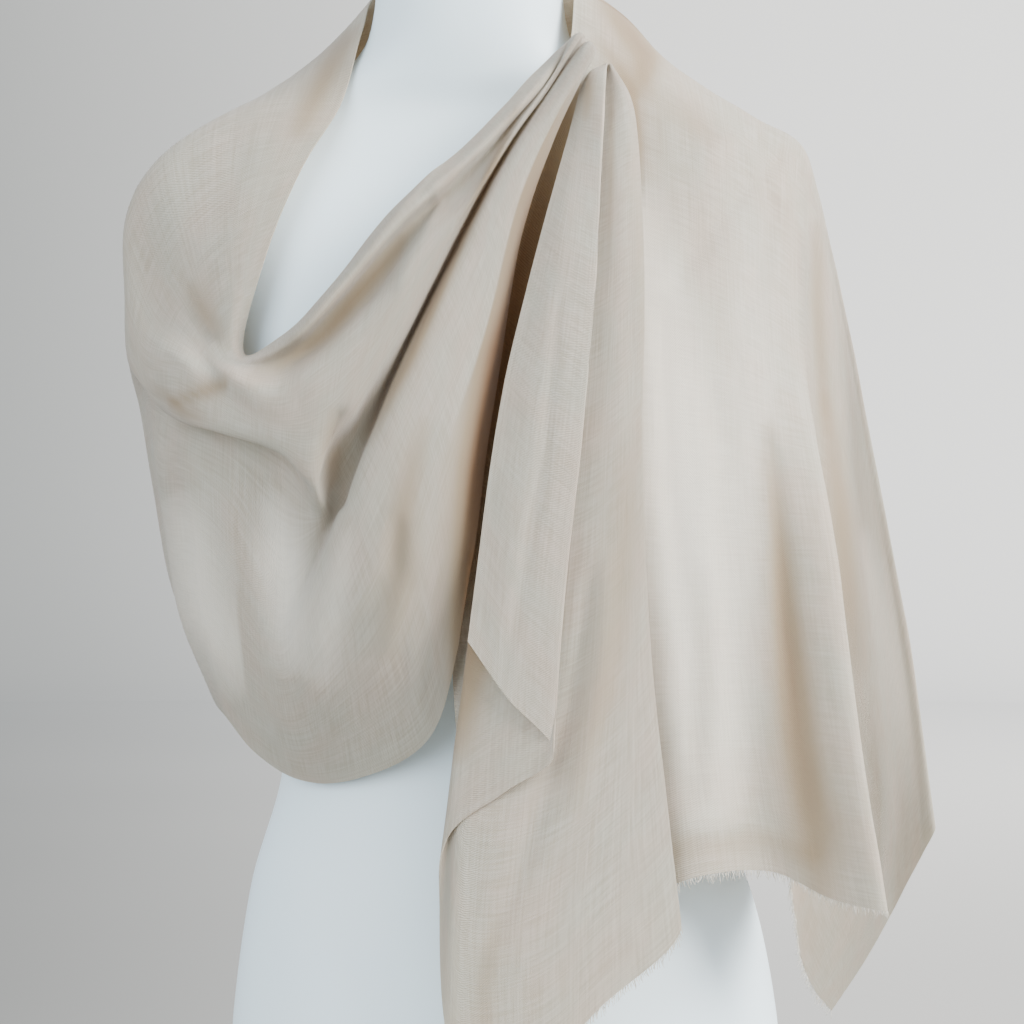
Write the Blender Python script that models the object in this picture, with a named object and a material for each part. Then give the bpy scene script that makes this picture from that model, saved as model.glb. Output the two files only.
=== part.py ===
"""Pashmina shawl draped on a limbless dress form.

The shawl is one thin rectangle of cloth.  Its shoulder end hangs over the form's left shoulder,
the cloth goes behind the neck and round the other shoulder, crosses the chest as a cowl with one
deep pleat, is gathered beside the neck, and falls down the front as the hanging end.
Each stretch is a loft through sections that run from one selvedge to the other.
All tables are in millimetres: x to the form's left, y to its back, z up from its base.
"""
import math

import bmesh
import bpy
import numpy as np

MM = 0.001

# ---------------------------------------------------------------- driving dimensions
CLOTH_THICKNESS = 1.2          # wall of the cloth solids
FRINGE_LENGTH = 8.0            # reach of the eyelash fringe beyond each short edge
FRINGE_THICKNESS = 1.2
FRINGE_CORNER_GAP = 3.0        # how far each strip of fringe stops from a sharp fold
SEAM_GAP = 0.4                 # air between two stretches where they meet
ACROSS_STEPS = 2               # faces between two columns of a section table
ALONG_STEPS = 2                # faces between two sections
FORM_SEGMENTS = 40             # faces round the dress form
BACK_EASE = 6.5                # how far the cloth stands off the form's back
NECK_EASE = 5.0                # how much further it stands off behind the neck
NECK_FOOT = 650.0              # height where the neck starts

# ---------------------------------------------------------------- dress form
# height, half width, depth in front, depth behind, sideways shift of the ring
FORM_RINGS = (
    # z      half   front  back   shift
    (0.0,    150.0, 96.0, 103.0, 11.0),
    (80.0,   161.0, 103.0, 113.0, 15.0),
    (127.0,  160.0, 103.0, 112.0, 15.0),
    (210.0,  146.0, 95.0, 100.0, 12.0),
    (285.0,  119.0, 82.0, 82.0, 4.0),
    (360.0,  128.0, 94.0, 90.0, 0.0),
    (440.0,  147.0, 112.0, 98.0, -2.0),
    (510.0,  157.0, 100.0, 103.0, -3.0),
    (570.0,  171.0, 78.0, 96.0, -3.0),
    (604.0,  180.0, 58.0, 78.0, -3.0),
    (624.0,  176.0, 46.0, 62.0, -3.0),
    (642.0,  150.0, 40.0, 52.0, -3.0),
    (662.0,  112.0, 38.0, 51.0, -4.0),
    (682.0,  80.0,  43.0, 53.0, -5.0),
    (700.0,  62.0,  47.0, 53.0, -6.0),
    (724.0,  55.5,  50.0, 53.0, -6.0),
    (774.0,  54.0,  52.0, 53.0, -6.0),
    (780.0,  50.0,  48.0, 49.0, -6.0),
)
RING_SQUARENESS = 2.2          # exponent of the rings' superellipse

# ---------------------------------------------------------------- sections of the cloth
# Each row is one section from the upper selvedge to the lower one, and each column is a fold
# line that runs along the cloth.

SHOULDER_COLUMNS = ("inner", "flat_1", "flat_2", "trough", "crest", "fold", "tuck",
                    "side_1", "side_2", "side_3", "selvedge")
SHOULDER_SECTIONS = (
    ("hem", (0, -112, 212), (84, -116, 214), (120, -122, 228), (163, -106, 229), (196, -118, 215),
     (224, -130, 210), (183, -20, 219), (187, 10, 184), (193, 30, 158), (202, 42, 139),
     (212, 50, 127)),
    ("hip", (-12, -112, 310), (84, -115, 312), (113, -118, 314), (150, -108, 314),
     (180, -112, 312), (209, -120, 308), (180, 0, 290), (204, 10, 280), (224, 20, 255),
     (236, 30, 215), (232, 45, 158)),
    ("waist", (-14, -117, 430), (84, -114, 428), (112, -110, 425), (140, -104, 424),
     (168, -101, 422), (196, -100, 420), (184, -30, 410), (212, -14, 395), (226, 2, 350),
     (242, 20, 265), (248, 40, 188)),
    ("chest", (8, -94, 575), (84, -84, 560), (112, -80, 550), (138, -74, 540),
     (162, -67, 528), (184, -56, 515), (190, -40, 510), (212, -8, 480), (228, 4, 410),
     (246, 18, 300), (256, 34, 206)),
    ("collarbone", (51, -44, 690), (84, -45, 670), (110, -45, 658), (135, -42, 645),
     (160, -37, 632), (184, -26, 616), (196, -14, 600), (212, -2, 545), (230, 6, 450),
     (252, 16, 330), (265, 28, 225)),
    ("ridge", (56, -10, 737), (84, -2, 719), (106, 0, 697), (133, 0, 677), (162, -1, 660),
     (188, -2, 644), (198, 0, 618), (212, 3, 560), (232, 8, 465), (256, 15, 345),
     (271, 24, 240)),
    ("behind", (58, 16, 740), (84, 26, 717), (108, 33, 694), (136, 36, 672), (162, 36, 652),
     (184, 36, 630), (194, 38, 602), (208, 44, 542), (226, 52, 450), (246, 62, 345),
     (258, 72, 258)),
    ("blade", (50, 38, 740), (76, 55, 708), (102, 68, 682), (128, 80, 654), (150, 89, 625),
     (168, 96, 594), (180, 102, 556), (190, 110, 505), (200, 118, 440), (212, 124, 365),
     (226, 122, 275)),
)
RIDGE_ROW = 5                  # the section where the shoulder end passes over the shoulder

# The back is worked out: (name, x of the upper edge, x of the lower edge, y of the lower edge,
# height of the upper edge, height of the lower edge)
BACK_SECTIONS = (
    ("right_back", 34.0, 128.0, 146.0, 741.0, 300.0),
    ("centre", -6.0, 4.0, 142.0, 742.0, 318.0),
    ("left_back", -44.0, -94.0, 134.0, 740.0, 330.0),
)

# columns: selvedge, slope, shoulder, hollow, ridge, lip, tuck, side_1, side_2, side_3, lower
ARM_SECTIONS = (
    ("blade", (-62, 28, 736), (-105, 60, 685), (-140, 80, 646), (-158, 94, 604),
     (-165, 104, 562), (-168, 110, 528), (-168, 114, 495), (-167, 118, 462), (-164, 120, 425),
     (-158, 118, 382), (-148, 112, 335)),
    ("rear", (-69, -14, 708), (-128, 22, 676), (-176, 30, 638), (-199, 36, 596), (-205, 42, 556),
     (-205, 48, 520), (-201, 52, 488), (-197, 54, 456), (-191, 54, 420), (-182, 52, 382),
     (-168, 48, 338)),
    ("side", (-79, -38, 665), (-135, -14, 663), (-188, -8, 634), (-207, -4, 602),
     (-208, -4, 555), (-206, -4, 516), (-197, 2, 500), (-192, 2, 470), (-185, 0, 425),
     (-177, -2, 372), (-162, -8, 335)),
    ("front", (-102, -60, 621), (-140, -50, 606), (-172, -42, 578), (-185, -34, 550),
     (-193, -44, 521), (-185, -50, 491), (-183, -28, 496), (-185, -28, 452), (-179, -28, 406),
     (-171, -26, 362), (-153, -26, 318)),
    ("cowl", (-124, -82, 557), (-138, -80, 549), (-153, -72, 535), (-159, -78, 522),
     (-162, -96, 508), (-163, -95, 478), (-161, -72, 483), (-163, -72, 446), (-160, -68, 401),
     (-155, -58, 355), (-146, -38, 311)),
    ("bend", (-131, -84, 516), (-132, -98, 513), (-136, -104, 510), (-138, -112, 504),
     (-139, -112, 493), (-140, -113, 472), (-137, -92, 478), (-137, -92, 424), (-136, -84, 379),
     (-133, -70, 333), (-128, -46, 290)),
)

# columns: edge, band, hollow, swell_1, swell_2, lip, tuck, valley, pleat, face, end
FRONT_SECTIONS = (
    ("low_1", (-104, -101, 529), (-103, -116, 522), (-106, -110, 512), (-109, -127, 494),
     (-110, -130, 478), (-110, -127, 462), (-107, -106, 466), (-108, -98, 379),
     (-110, -98, 351), (-106, -88, 316), (-99, -60, 275)),
    ("low_2", (-79, -105, 556), (-77, -119, 548), (-80, -110, 537), (-83, -131, 511),
     (-86, -136, 483), (-89, -131, 448), (-87, -123, 435), (-83, -107, 417), (-85, -120, 404),
     (-75, -114, 341), (-69, -78, 278)),
    ("mid_1", (-51, -105, 591), (-47, -118, 583), (-50, -109, 572), (-54, -132, 538),
     (-63, -137, 505), (-71, -133, 478), (-76, -114, 457), (-71, -109, 441), (-69, -127, 442),
     (-48, -133, 380), (-28, -104, 301)),
    ("mid_2", (-27, -102, 614), (-22, -114, 607), (-25, -106, 597), (-28, -126, 572),
     (-35, -131, 548), (-41, -130, 527), (-45, -124, 514), (-47, -113, 503), (-43, -130, 500),
     (-25, -138, 451), (-10, -126, 358)),
    ("high_1", (-4, -94, 635), (1, -107, 629), (-2, -100, 620), (-4, -116, 602),
     (-7, -120, 593), (-11, -119, 585), (-13, -114, 578), (-15, -107, 570), (-11, -122, 566),
     (2, -131, 525), (9, -122, 487)),
    ("high_2", (19, -84, 660), (25, -96, 655), (22, -90, 649), (21, -101, 641),
     (20, -103, 637), (18, -102, 634), (16, -97, 631), (15, -91, 628), (18, -107, 624),
     (23, -116, 603), (26, -106, 587)),
    ("neck", (38, -68, 682), (43, -80, 679), (43, -79, 675), (42, -84, 672),
     (41, -86, 670), (40, -86, 667), (38, -83, 665), (37, -80, 662), (42, -92, 661),
     (47, -98, 656), (48, -88, 650)),
    ("roll", (50, -60, 693), (53, -68, 696), (54, -70, 697), (56, -73, 698),
     (57, -76, 698), (59, -77, 697), (59, -76, 695), (60, -75, 693), (63, -82, 692),
     (66, -84, 687), (63, -78, 682)),
    ("root", (54, -53, 690), (56, -54, 692), (57, -55, 692), (58, -56, 691),
     (59, -57, 690), (59, -58, 689), (59, -58, 688), (60, -59, 687), (60, -62, 687),
     (61, -64, 686), (59, -62, 684)),
)

# The hanging end: a row for each vertical fold, from the free selvedge to the far side.
# Each fold gives its place (x, y) at nine heights, the first one tucked back below the top, and
# the height where the cloth ends below it.
HANGING_LEVELS = (684.0, 697.0, 688.0, 668.0, 640.0, 573.0, 489.0, 358.0, 203.0)
HANGING_FOLDS = (
    # name         root         top          lobe         throat       collar       chest
    #              rib          waist        hip          lower end
    ("free_edge", (72, -48), (71, -57), (70, -66), (58, -75), (51, -92), (33, -120),
     (13, -135), (-5, -142), (-8, -142), 358.0),
    ("face_1", (72, -50), (71, -60), (70, -71), (61, -80), (57, -97), (47, -128),
     (33, -142), (17, -147), (12, -147), 328.0),
    ("front_fold", (73, -52), (72, -62), (72, -75), (71, -86), (69, -103), (66, -131),
     (59, -144), (45, -148), (38, -147), 297.0),
    ("back_1", (73, -50), (72, -60), (71, -69), (64, -78), (60, -94), (50, -122),
     (38, -137), (20, -142), (10, -141), 276.0),
    ("left_turn", (73, -47), (71, -55), (70, -62), (60, -72), (53, -87), (37, -115),
     (18, -130), (-3, -136), (-21, -134), 252.0),
    ("margin", (73, -46), (71, -53), (70, -60), (61, -69), (55, -84), (39, -112),
     (20, -127), (-2, -132), (-22, -129), 214.0),
    ("ridge", (74, -48), (72, -56), (71, -63), (65, -73), (59, -88), (47, -115),
     (30, -130), (6, -136), (-7, -135), 120.0),
    ("face_2", (75, -50), (73, -60), (74, -70), (73, -79), (70, -94), (66, -119),
     (58, -131), (46, -137), (30, -139), 126.0),
    ("swell", (75, -51), (74, -62), (77, -73), (81, -82), (82, -97), (81, -120),
     (79, -130), (77, -136), (68, -138), 160.0),
    ("right_fold", (76, -49), (75, -59), (80, -67), (85, -76), (88, -88), (91, -112),
     (89, -123), (94, -129), (111, -132), 203.0),
    ("hidden_1", (76, -47), (75, -55), (78, -61), (80, -69), (81, -82), (78, -105),
     (70, -118), (66, -124), (74, -126), 236.0),
    ("hidden_2", (75, -45), (73, -51), (75, -57), (72, -65), (68, -79), (58, -103),
     (46, -116), (36, -123), (36, -124), 272.0),
)
HEM_START = 6                  # the fold at which the selvedge gives way to the short edge
HEM_END = 9                    # the fold at the near side of the short edge that shows

COLOURS = {
    # name: red, green, blue, roughness
    "form_white": (0.80, 0.82, 0.86, 0.45),
    "cloth_beige": (0.62, 0.52, 0.43, 0.85),
    "cloth_sand": (0.66, 0.57, 0.47, 0.85),
    "cloth_tan": (0.58, 0.48, 0.38, 0.85),
    "cloth_pale": (0.70, 0.62, 0.52, 0.85),
    "cloth_warm": (0.60, 0.50, 0.41, 0.85),
    "fringe_beige": (0.66, 0.58, 0.48, 0.90),
}


# ---------------------------------------------------------------- curves and surfaces
def clear_scene():
    """Remove every object that is already in the file."""
    for item in list(bpy.data.objects):
        bpy.data.objects.remove(item, do_unlink=True)


def span_point(before, start, end, after, part):
    """A point on the centripetal Catmull-Rom curve between start and end."""
    knots = [0.0]
    for first, second in ((before, start), (start, end), (end, after)):
        gap = max(float(np.linalg.norm(second - first)), 1e-6)
        knots.append(knots[-1] + math.sqrt(gap))
    t0, t1, t2, t3 = knots
    t = t1 + (t2 - t1) * part
    a1 = (t1 - t) / (t1 - t0) * before + (t - t0) / (t1 - t0) * start
    a2 = (t2 - t) / (t2 - t1) * start + (t - t1) / (t2 - t1) * end
    a3 = (t3 - t) / (t3 - t2) * end + (t - t2) / (t3 - t2) * after
    b1 = (t2 - t) / (t2 - t0) * a1 + (t - t0) / (t2 - t0) * a2
    b2 = (t3 - t) / (t3 - t1) * a2 + (t - t1) / (t3 - t1) * a3
    return (t2 - t) / (t2 - t1) * b1 + (t - t1) / (t2 - t1) * b2


def smooth_curve(points, steps):
    """Points along a smooth curve through the given ones, with equal steps in every span."""
    points = [np.array(point, dtype=float) for point in points]
    first = 2.0 * points[0] - points[1]
    last = 2.0 * points[-1] - points[-2]
    padded = [first] + points + [last]
    result = []
    for index in range(len(points) - 1):
        for step in range(steps):
            result.append(span_point(*padded[index:index + 4], step / steps))
    result.append(points[-1])
    return np.array(result)


def loft(sections, along_steps, across_steps):
    """Grid of points through sections: first across each one, then along the cloth."""
    across = [smooth_curve(section, across_steps) for section in sections]
    columns = []
    for column in range(len(across[0])):
        line = [section[column] for section in across]
        columns.append(smooth_curve(line, along_steps))
    return np.array(columns).transpose(1, 0, 2)


def ring_value(height, column):
    """A dress form ring's value at any height, by straight steps between the table's rings."""
    heights = [ring[0] for ring in FORM_RINGS]
    values = [ring[column] for ring in FORM_RINGS]
    return float(np.interp(height, heights, values))


def back_section(name, x_top, x_low, y_low, z_top, z_low):
    """A section down the back: over the neck and shoulder blades, then straight down."""
    count = len(SHOULDER_COLUMNS)
    points = []
    for index in range(count):
        share = index / (count - 1)
        height = z_top + (z_low - z_top) * share
        x = x_top + (x_low - x_top) * math.sin(0.5 * math.pi * share)
        ease = BACK_EASE + NECK_EASE * min(max((height - NECK_FOOT) / 40.0, 0.0), 1.0)
        half = ring_value(height, 1) + ease
        depth = ring_value(height, 3) + ease
        reach = min(abs(x - ring_value(height, 4)) / half, 0.97)
        on_form = depth * (1.0 - reach ** RING_SQUARENESS) ** (1.0 / RING_SQUARENESS)
        blade = ring_value(510.0, 3) + BACK_EASE + 4.0
        fall = min(max((600.0 - height) / 90.0, 0.0), 1.0)
        hanging = blade + (y_low - blade) * min(max((520.0 - height) / (520.0 - z_low), 0.0), 1.0)
        side = (1.0 - (min(abs(x) / 262.0, 1.0)) ** 3) ** 0.5
        straight = hanging * side + y_low * (1.0 - side)
        y = max(on_form, straight * fall + on_form * (1.0 - fall))
        points.append((x, y, height))
    return points


def hanging_grid(along_steps, across_steps):
    """Grid of the hanging end: columns are vertical lines, rows run across the folds."""
    columns = []
    for fold in HANGING_FOLDS:
        places = fold[1:-1]
        low = fold[-1]
        line = [(x, y, z) for (x, y), z in zip(places, HANGING_LEVELS)]
        kept = [point for point in line if point[2] > low + 12.0]
        xs, ys, zs = zip(*line[:0:-1])
        x_low = float(np.interp(low, zs, xs))
        y_low = float(np.interp(low, zs, ys))
        kept.append((x_low, y_low, low))
        smooth = smooth_curve(kept, 8)
        columns.append(resample(smooth, len(HANGING_LEVELS)))
    sections = [[column[row] for column in columns] for row in range(len(HANGING_LEVELS))]
    return loft(sections, along_steps, across_steps)


def resample(curve, count):
    """The same curve with the given number of points, evenly spaced along it."""
    lengths = np.linalg.norm(np.diff(curve, axis=0), axis=1)
    travelled = np.concatenate(([0.0], np.cumsum(lengths)))
    targets = np.linspace(0.0, travelled[-1], count)
    return np.array([[np.interp(target, travelled, curve[:, axis]) for axis in range(3)]
                     for target in targets])


def trim_end(grid, row, neighbour):
    """Draw one end row of a grid back towards its neighbour by half of the seam gap."""
    step = grid[neighbour] - grid[row]
    length = np.linalg.norm(step, axis=1, keepdims=True)
    grid[row] = grid[row] + step / np.maximum(length, 1e-6) * (0.5 * SEAM_GAP)


def grid_normals(grid):
    """Unit normals at the points of a grid, from the slopes of its rows and columns."""
    down = np.gradient(grid, axis=0)
    across = np.gradient(grid, axis=1)
    normals = np.cross(across, down)
    length = np.linalg.norm(normals, axis=2, keepdims=True)
    return normals / np.maximum(length, 1e-9)


# ---------------------------------------------------------------- solids
def make_material(name):
    """A plain Principled material from the colour table."""
    red, green, blue, roughness = COLOURS[name]
    material = bpy.data.materials.new(name)
    material.use_nodes = True
    shader = material.node_tree.nodes["Principled BSDF"]
    shader.inputs["Base Color"].default_value = (red, green, blue, 1.0)
    shader.inputs["Roughness"].default_value = roughness
    shader.inputs["Metallic"].default_value = 0.0
    material.diffuse_color = (red, green, blue, 1.0)
    return material


def add_object(name, mesh, material_name, collection):
    """Put a finished mesh into the collection under its own name, with its own material."""
    mesh.materials.append(make_material(material_name))
    item = bpy.data.objects.new(name, mesh)
    collection.objects.link(item)
    return item


def wall_mesh(name, grid, normals, thickness):
    """A closed wall: the grid's points moved half a thickness to each side, and joined round
    the rim.  Normals come from the whole cloth, so that two stretches meet face to face."""
    rows, columns = grid.shape[:2]
    shape = bmesh.new()
    sides = []
    for side in (0.5, -0.5):
        points = (grid + normals * (side * thickness)) * MM
        sides.append([[shape.verts.new(point) for point in row] for row in points])
    upper, lower = sides
    for row in range(rows - 1):
        for column in range(columns - 1):
            first = ((row, column), (row + 1, column), (row + 1, column + 1))
            second = ((row, column), (row + 1, column + 1), (row, column + 1))
            for corners in (first, second):
                shape.faces.new([upper[r][c] for r, c in corners])
                shape.faces.new([lower[r][c] for r, c in reversed(corners)])
    rim = [(0, column) for column in range(columns)]
    rim += [(row, columns - 1) for row in range(1, rows)]
    rim += [(rows - 1, column) for column in range(columns - 2, -1, -1)]
    rim += [(row, 0) for row in range(rows - 2, 0, -1)]
    for (r1, c1), (r2, c2) in zip(rim, rim[1:] + rim[:1]):
        shape.faces.new((upper[r1][c1], upper[r2][c2], lower[r2][c2], lower[r1][c1]))
    if shape.calc_volume(signed=True) < 0.0:
        bmesh.ops.reverse_faces(shape, faces=shape.faces)
    mesh = bpy.data.meshes.new(name)
    shape.to_mesh(mesh)
    shape.free()
    mesh.shade_smooth()
    mesh.set_sharp_from_angle(angle=math.radians(50.0))
    return mesh


def add_cloth(name, grid, normals, thickness, material_name, collection):
    """A stretch of cloth: a wall of even thickness on its grid."""
    mesh = wall_mesh(name, grid, normals, thickness)
    return add_object(name, mesh, material_name, collection)


def build_form(collection):
    """The dress form: one smooth loft through its rings, flat at the base and at the neck."""
    shape = bmesh.new()
    rings = []
    power = 2.0 / RING_SQUARENESS
    for height, half, front, back, shift in FORM_RINGS:
        ring = []
        for index in range(FORM_SEGMENTS):
            angle = 2.0 * math.pi * index / FORM_SEGMENTS
            across = math.cos(angle)
            deep = math.sin(angle)
            depth = back if deep > 0.0 else front
            x = shift + half * math.copysign(abs(across) ** power, across)
            y = depth * math.copysign(abs(deep) ** power, deep)
            ring.append(shape.verts.new((x * MM, y * MM, height * MM)))
        rings.append(ring)
    for lower, upper in zip(rings, rings[1:]):
        for index in range(FORM_SEGMENTS):
            after = (index + 1) % FORM_SEGMENTS
            shape.faces.new((lower[index], lower[after], upper[after], upper[index]))
    shape.faces.new(list(reversed(rings[0])))
    shape.faces.new(rings[-1])
    mesh = bpy.data.meshes.new("dress_form")
    shape.to_mesh(mesh)
    shape.free()
    mesh.shade_smooth()
    mesh.set_sharp_from_angle(angle=math.radians(50.0))
    return add_object("dress_form", mesh, "form_white", collection)


def add_fringe(name, rows, normals, collection):
    """A thin strip past a short edge: rows holds the edge's points and their inner neighbours.
    Its two ends stop short of the fold where the next strip starts."""
    edge, inner = rows[0], rows[1]
    direction = edge - inner
    direction = direction / np.linalg.norm(direction, axis=1, keepdims=True)
    near = edge + direction * SEAM_GAP
    far = near + direction * FRINGE_LENGTH
    for line in (near, far):
        for end, neighbour in ((0, 1), (-1, -2)):
            step = line[neighbour] - line[end]
            line[end] = line[end] + step / np.linalg.norm(step) * FRINGE_CORNER_GAP
    add_cloth(name, np.array([near, far]), np.array([normals, normals]), FRINGE_THICKNESS,
              "fringe_beige", collection)


def build_wrapped(collection):
    """The cloth from the shoulder end's hem, round the back, to the gather beside the neck."""
    shoulder = [section[1:] for section in SHOULDER_SECTIONS]
    back = [back_section(*row) for row in BACK_SECTIONS]
    arm = [section[1:] for section in ARM_SECTIONS]
    front = [section[1:] for section in FRONT_SECTIONS]
    sections = shoulder + back + arm + front
    whole = loft(sections, ALONG_STEPS, ACROSS_STEPS)
    normals = grid_normals(whole)
    arm_row = len(shoulder) + len(back)
    bend_row = arm_row + len(arm) - 1
    last_row = len(sections) - 1
    stretches = (
        # name               first row  last row  colour
        ("shawl_shoulder_end", 0, RIDGE_ROW, "cloth_sand"),
        ("shawl_back", RIDGE_ROW, arm_row, "cloth_beige"),
        ("shawl_arm_wrap", arm_row, bend_row, "cloth_tan"),
        ("shawl_front_wrap", bend_row, last_row, "cloth_pale"),
    )
    for name, first, last, colour in stretches:
        start = first * ALONG_STEPS
        stop = last * ALONG_STEPS + 1
        grid = whole[start:stop].copy()
        if first > 0:
            trim_end(grid, 0, 1)
        if last < last_row:
            trim_end(grid, -1, -2)
        add_cloth(name, grid, normals[start:stop], CLOTH_THICKNESS, colour, collection)
    fold = SHOULDER_COLUMNS.index("fold") * ACROSS_STEPS
    tuck = SHOULDER_COLUMNS.index("tuck") * ACROSS_STEPS
    last = whole.shape[1] - 1
    fringes = (("fringe_shoulder_front", 0, fold), ("fringe_shoulder_side", fold, tuck),
               ("fringe_shoulder_corner", tuck, last))
    for name, start, stop in fringes:
        add_fringe(name, whole[:2, start:stop + 1], normals[0, start:stop + 1], collection)


def build_hanging(collection):
    """The end that falls from the gather down the front, and the fringe on its short edge."""
    grid = hanging_grid(ALONG_STEPS, ACROSS_STEPS)
    normals = grid_normals(grid)
    add_cloth("shawl_hanging_end", grid, normals, CLOTH_THICKNESS, "cloth_warm", collection)
    start = HEM_START * ACROSS_STEPS
    stop = HEM_END * ACROSS_STEPS + 1
    add_fringe("fringe_hanging_end", grid[:-3:-1, start:stop], normals[-1, start:stop],
               collection)


def main():
    clear_scene()
    collection = bpy.data.collections.new("pashmina_shawl")
    bpy.context.scene.collection.children.link(collection)
    build_form(collection)
    build_wrapped(collection)
    build_hanging(collection)


main()
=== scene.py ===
"""Finish of a pashmina shawl on a limbless dress form, laid out as an add-on and run as a script.

The cloth is rebuilt as thin shells on the same fold tables as its solids, with listed
creases, a fine twill, and an eyelash fringe of loose warp ends on both short edges.
"""
import math

import bmesh
import bpy
import numpy as np
from bpy.props import FloatProperty, FloatVectorProperty, IntProperty, PointerProperty
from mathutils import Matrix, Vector, noise


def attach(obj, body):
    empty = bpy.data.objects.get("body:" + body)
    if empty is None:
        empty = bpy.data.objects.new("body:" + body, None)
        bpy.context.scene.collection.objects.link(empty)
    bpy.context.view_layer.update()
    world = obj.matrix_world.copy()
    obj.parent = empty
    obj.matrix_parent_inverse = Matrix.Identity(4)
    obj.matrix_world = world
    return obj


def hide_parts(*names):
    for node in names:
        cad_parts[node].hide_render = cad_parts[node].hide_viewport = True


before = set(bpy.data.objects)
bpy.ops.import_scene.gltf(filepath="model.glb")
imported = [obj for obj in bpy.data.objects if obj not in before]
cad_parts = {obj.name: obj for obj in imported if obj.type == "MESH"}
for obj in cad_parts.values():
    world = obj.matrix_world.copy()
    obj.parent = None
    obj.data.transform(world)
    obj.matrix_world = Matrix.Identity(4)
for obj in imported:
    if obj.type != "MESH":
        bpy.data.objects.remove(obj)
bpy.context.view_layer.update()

bl_info = {
    "name": "Pashmina Shawl on a Dress Form",
    "version": (1, 0, 0),
    "blender": (4, 5, 0),
    "location": "3D View > Sidebar > Shawl",
    "description": "Builds a draped pashmina shawl with its weave, creases, fringe and stage",
    "category": "Object",
}

MM = 0.001
BACK_EASE = 6.5                # how far the cloth stands off the form's back
NECK_EASE = 5.0                # how much further it stands off behind the neck
NECK_FOOT = 650.0              # height where the neck starts
NECK_TOP = 780.0               # height of the flat top of the neck
BLADE_HEIGHT = 510.0           # height from which the cloth hangs straight down the back
BLADE_EASE = 4.0               # how much further it stands off there
HANG_LEVEL = 520.0             # height below which it drifts towards its lower edge
HANG_START = 600.0             # height where it starts to leave the form's back
HANG_SPAN = 90.0               # height over which it leaves it
BACK_HALF = 262.0              # sideways reach of the hanging back
FRINGE_LEAN = 0.38             # greatest lean of a loose end, in radians
FRINGE_SPREAD = 0.55           # share of its length by which a loose end may fall short
CREASE_FALLOFF = 0.62          # share of its half width over which a crease fades to a third
NECK_BLEND = 40.0              # height over which the neck's ease comes in
BACK_REACH = 0.97              # greatest share of a ring's half width that a point may take
FOLD_MARGIN = 12.0             # a fold's last level stays this far above its lower end
FOLD_STEPS = 8                 # steps of the curve between two levels of a fold
HANGING_SPACING = 0.47         # spacing of the hanging end, as a share of the cloth's
DEEPEST_PAINTED_SHADE, PALEST_PAINTED_LIGHT = -2.0, 1.0    # deepest painted shade and palest painted light
SIDE_DEPTH = 60.0              # distance behind the middle where the front's painted light and shade has faded
HALF, AHEAD, BEHIND, SHIFT = 1, 2, 3, 4    # columns of the dress form's rings
FACE_COLUMN = 9                # place of "face" among the columns of the chest's sections

# name, place, aim, size in metres, power in watts and colour of each soft lamp
LAMPS = (
    ("window_light", (2.9, -1.5, 2.4), (0.0, 0.0, 0.42), 1.8, 400.0, (1.0, 0.985, 0.96)),
    ("room_light", (-2.2, -2.6, 1.2), (0.0, 0.0, 0.42), 2.6, 110.0, (0.84, 0.94, 1.0)),
    ("back_light", (2.2, 2.2, 2.2), (0.1, 0.0, 0.45), 1.8, 120.0, (1.0, 0.98, 0.95)),
    ("backdrop_light", (3.4, 2.6, 2.4), (2.4, 6.4, 1.2), 1.6, 260.0, (1.0, 0.99, 0.98)),
)
SKY_COLOUR = (0.90, 0.94, 1.0, 1.0)
SKY_STRENGTH = 1.16
CAMERA_PLACE = (0.019, -1.8, 0.428)
CAMERA_LENS = 107.58
CAMERA_SENSOR = 36.0
FLOOR_RADIUS = 5.2
COVE_RADIUS = 1.3
BACKDROP_HEIGHT = 6.0

# ---------------------------------------------------------------- dress form
# height, half width, depth in front, depth behind, sideways shift of the ring
FORM_RINGS = (
    # z      half   front  back   shift
    (0.0,    150.0, 96.0, 103.0, 11.0),
    (80.0,   161.0, 103.0, 113.0, 15.0),
    (127.0,  160.0, 103.0, 112.0, 15.0),
    (210.0,  146.0, 95.0, 100.0, 12.0),
    (285.0,  119.0, 82.0, 82.0, 4.0),
    (360.0,  128.0, 94.0, 90.0, 0.0),
    (440.0,  147.0, 112.0, 98.0, -2.0),
    (510.0,  157.0, 100.0, 103.0, -3.0),
    (570.0,  171.0, 78.0, 96.0, -3.0),
    (604.0,  180.0, 58.0, 78.0, -3.0),
    (624.0,  176.0, 46.0, 62.0, -3.0),
    (642.0,  150.0, 40.0, 52.0, -3.0),
    (662.0,  112.0, 38.0, 51.0, -4.0),
    (682.0,  80.0,  43.0, 53.0, -5.0),
    (700.0,  62.0,  47.0, 53.0, -6.0),
    (724.0,  55.5,  50.0, 53.0, -6.0),
    (774.0,  54.0,  52.0, 53.0, -6.0),
    (780.0,  50.0,  48.0, 49.0, -6.0),
)
RING_SQUARENESS = 2.2          # exponent of the rings' superellipse

# ---------------------------------------------------------------- sections of the cloth
# Each row is one section from the upper selvedge to the lower one, and each column is a fold
# line that runs along the cloth.

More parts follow.
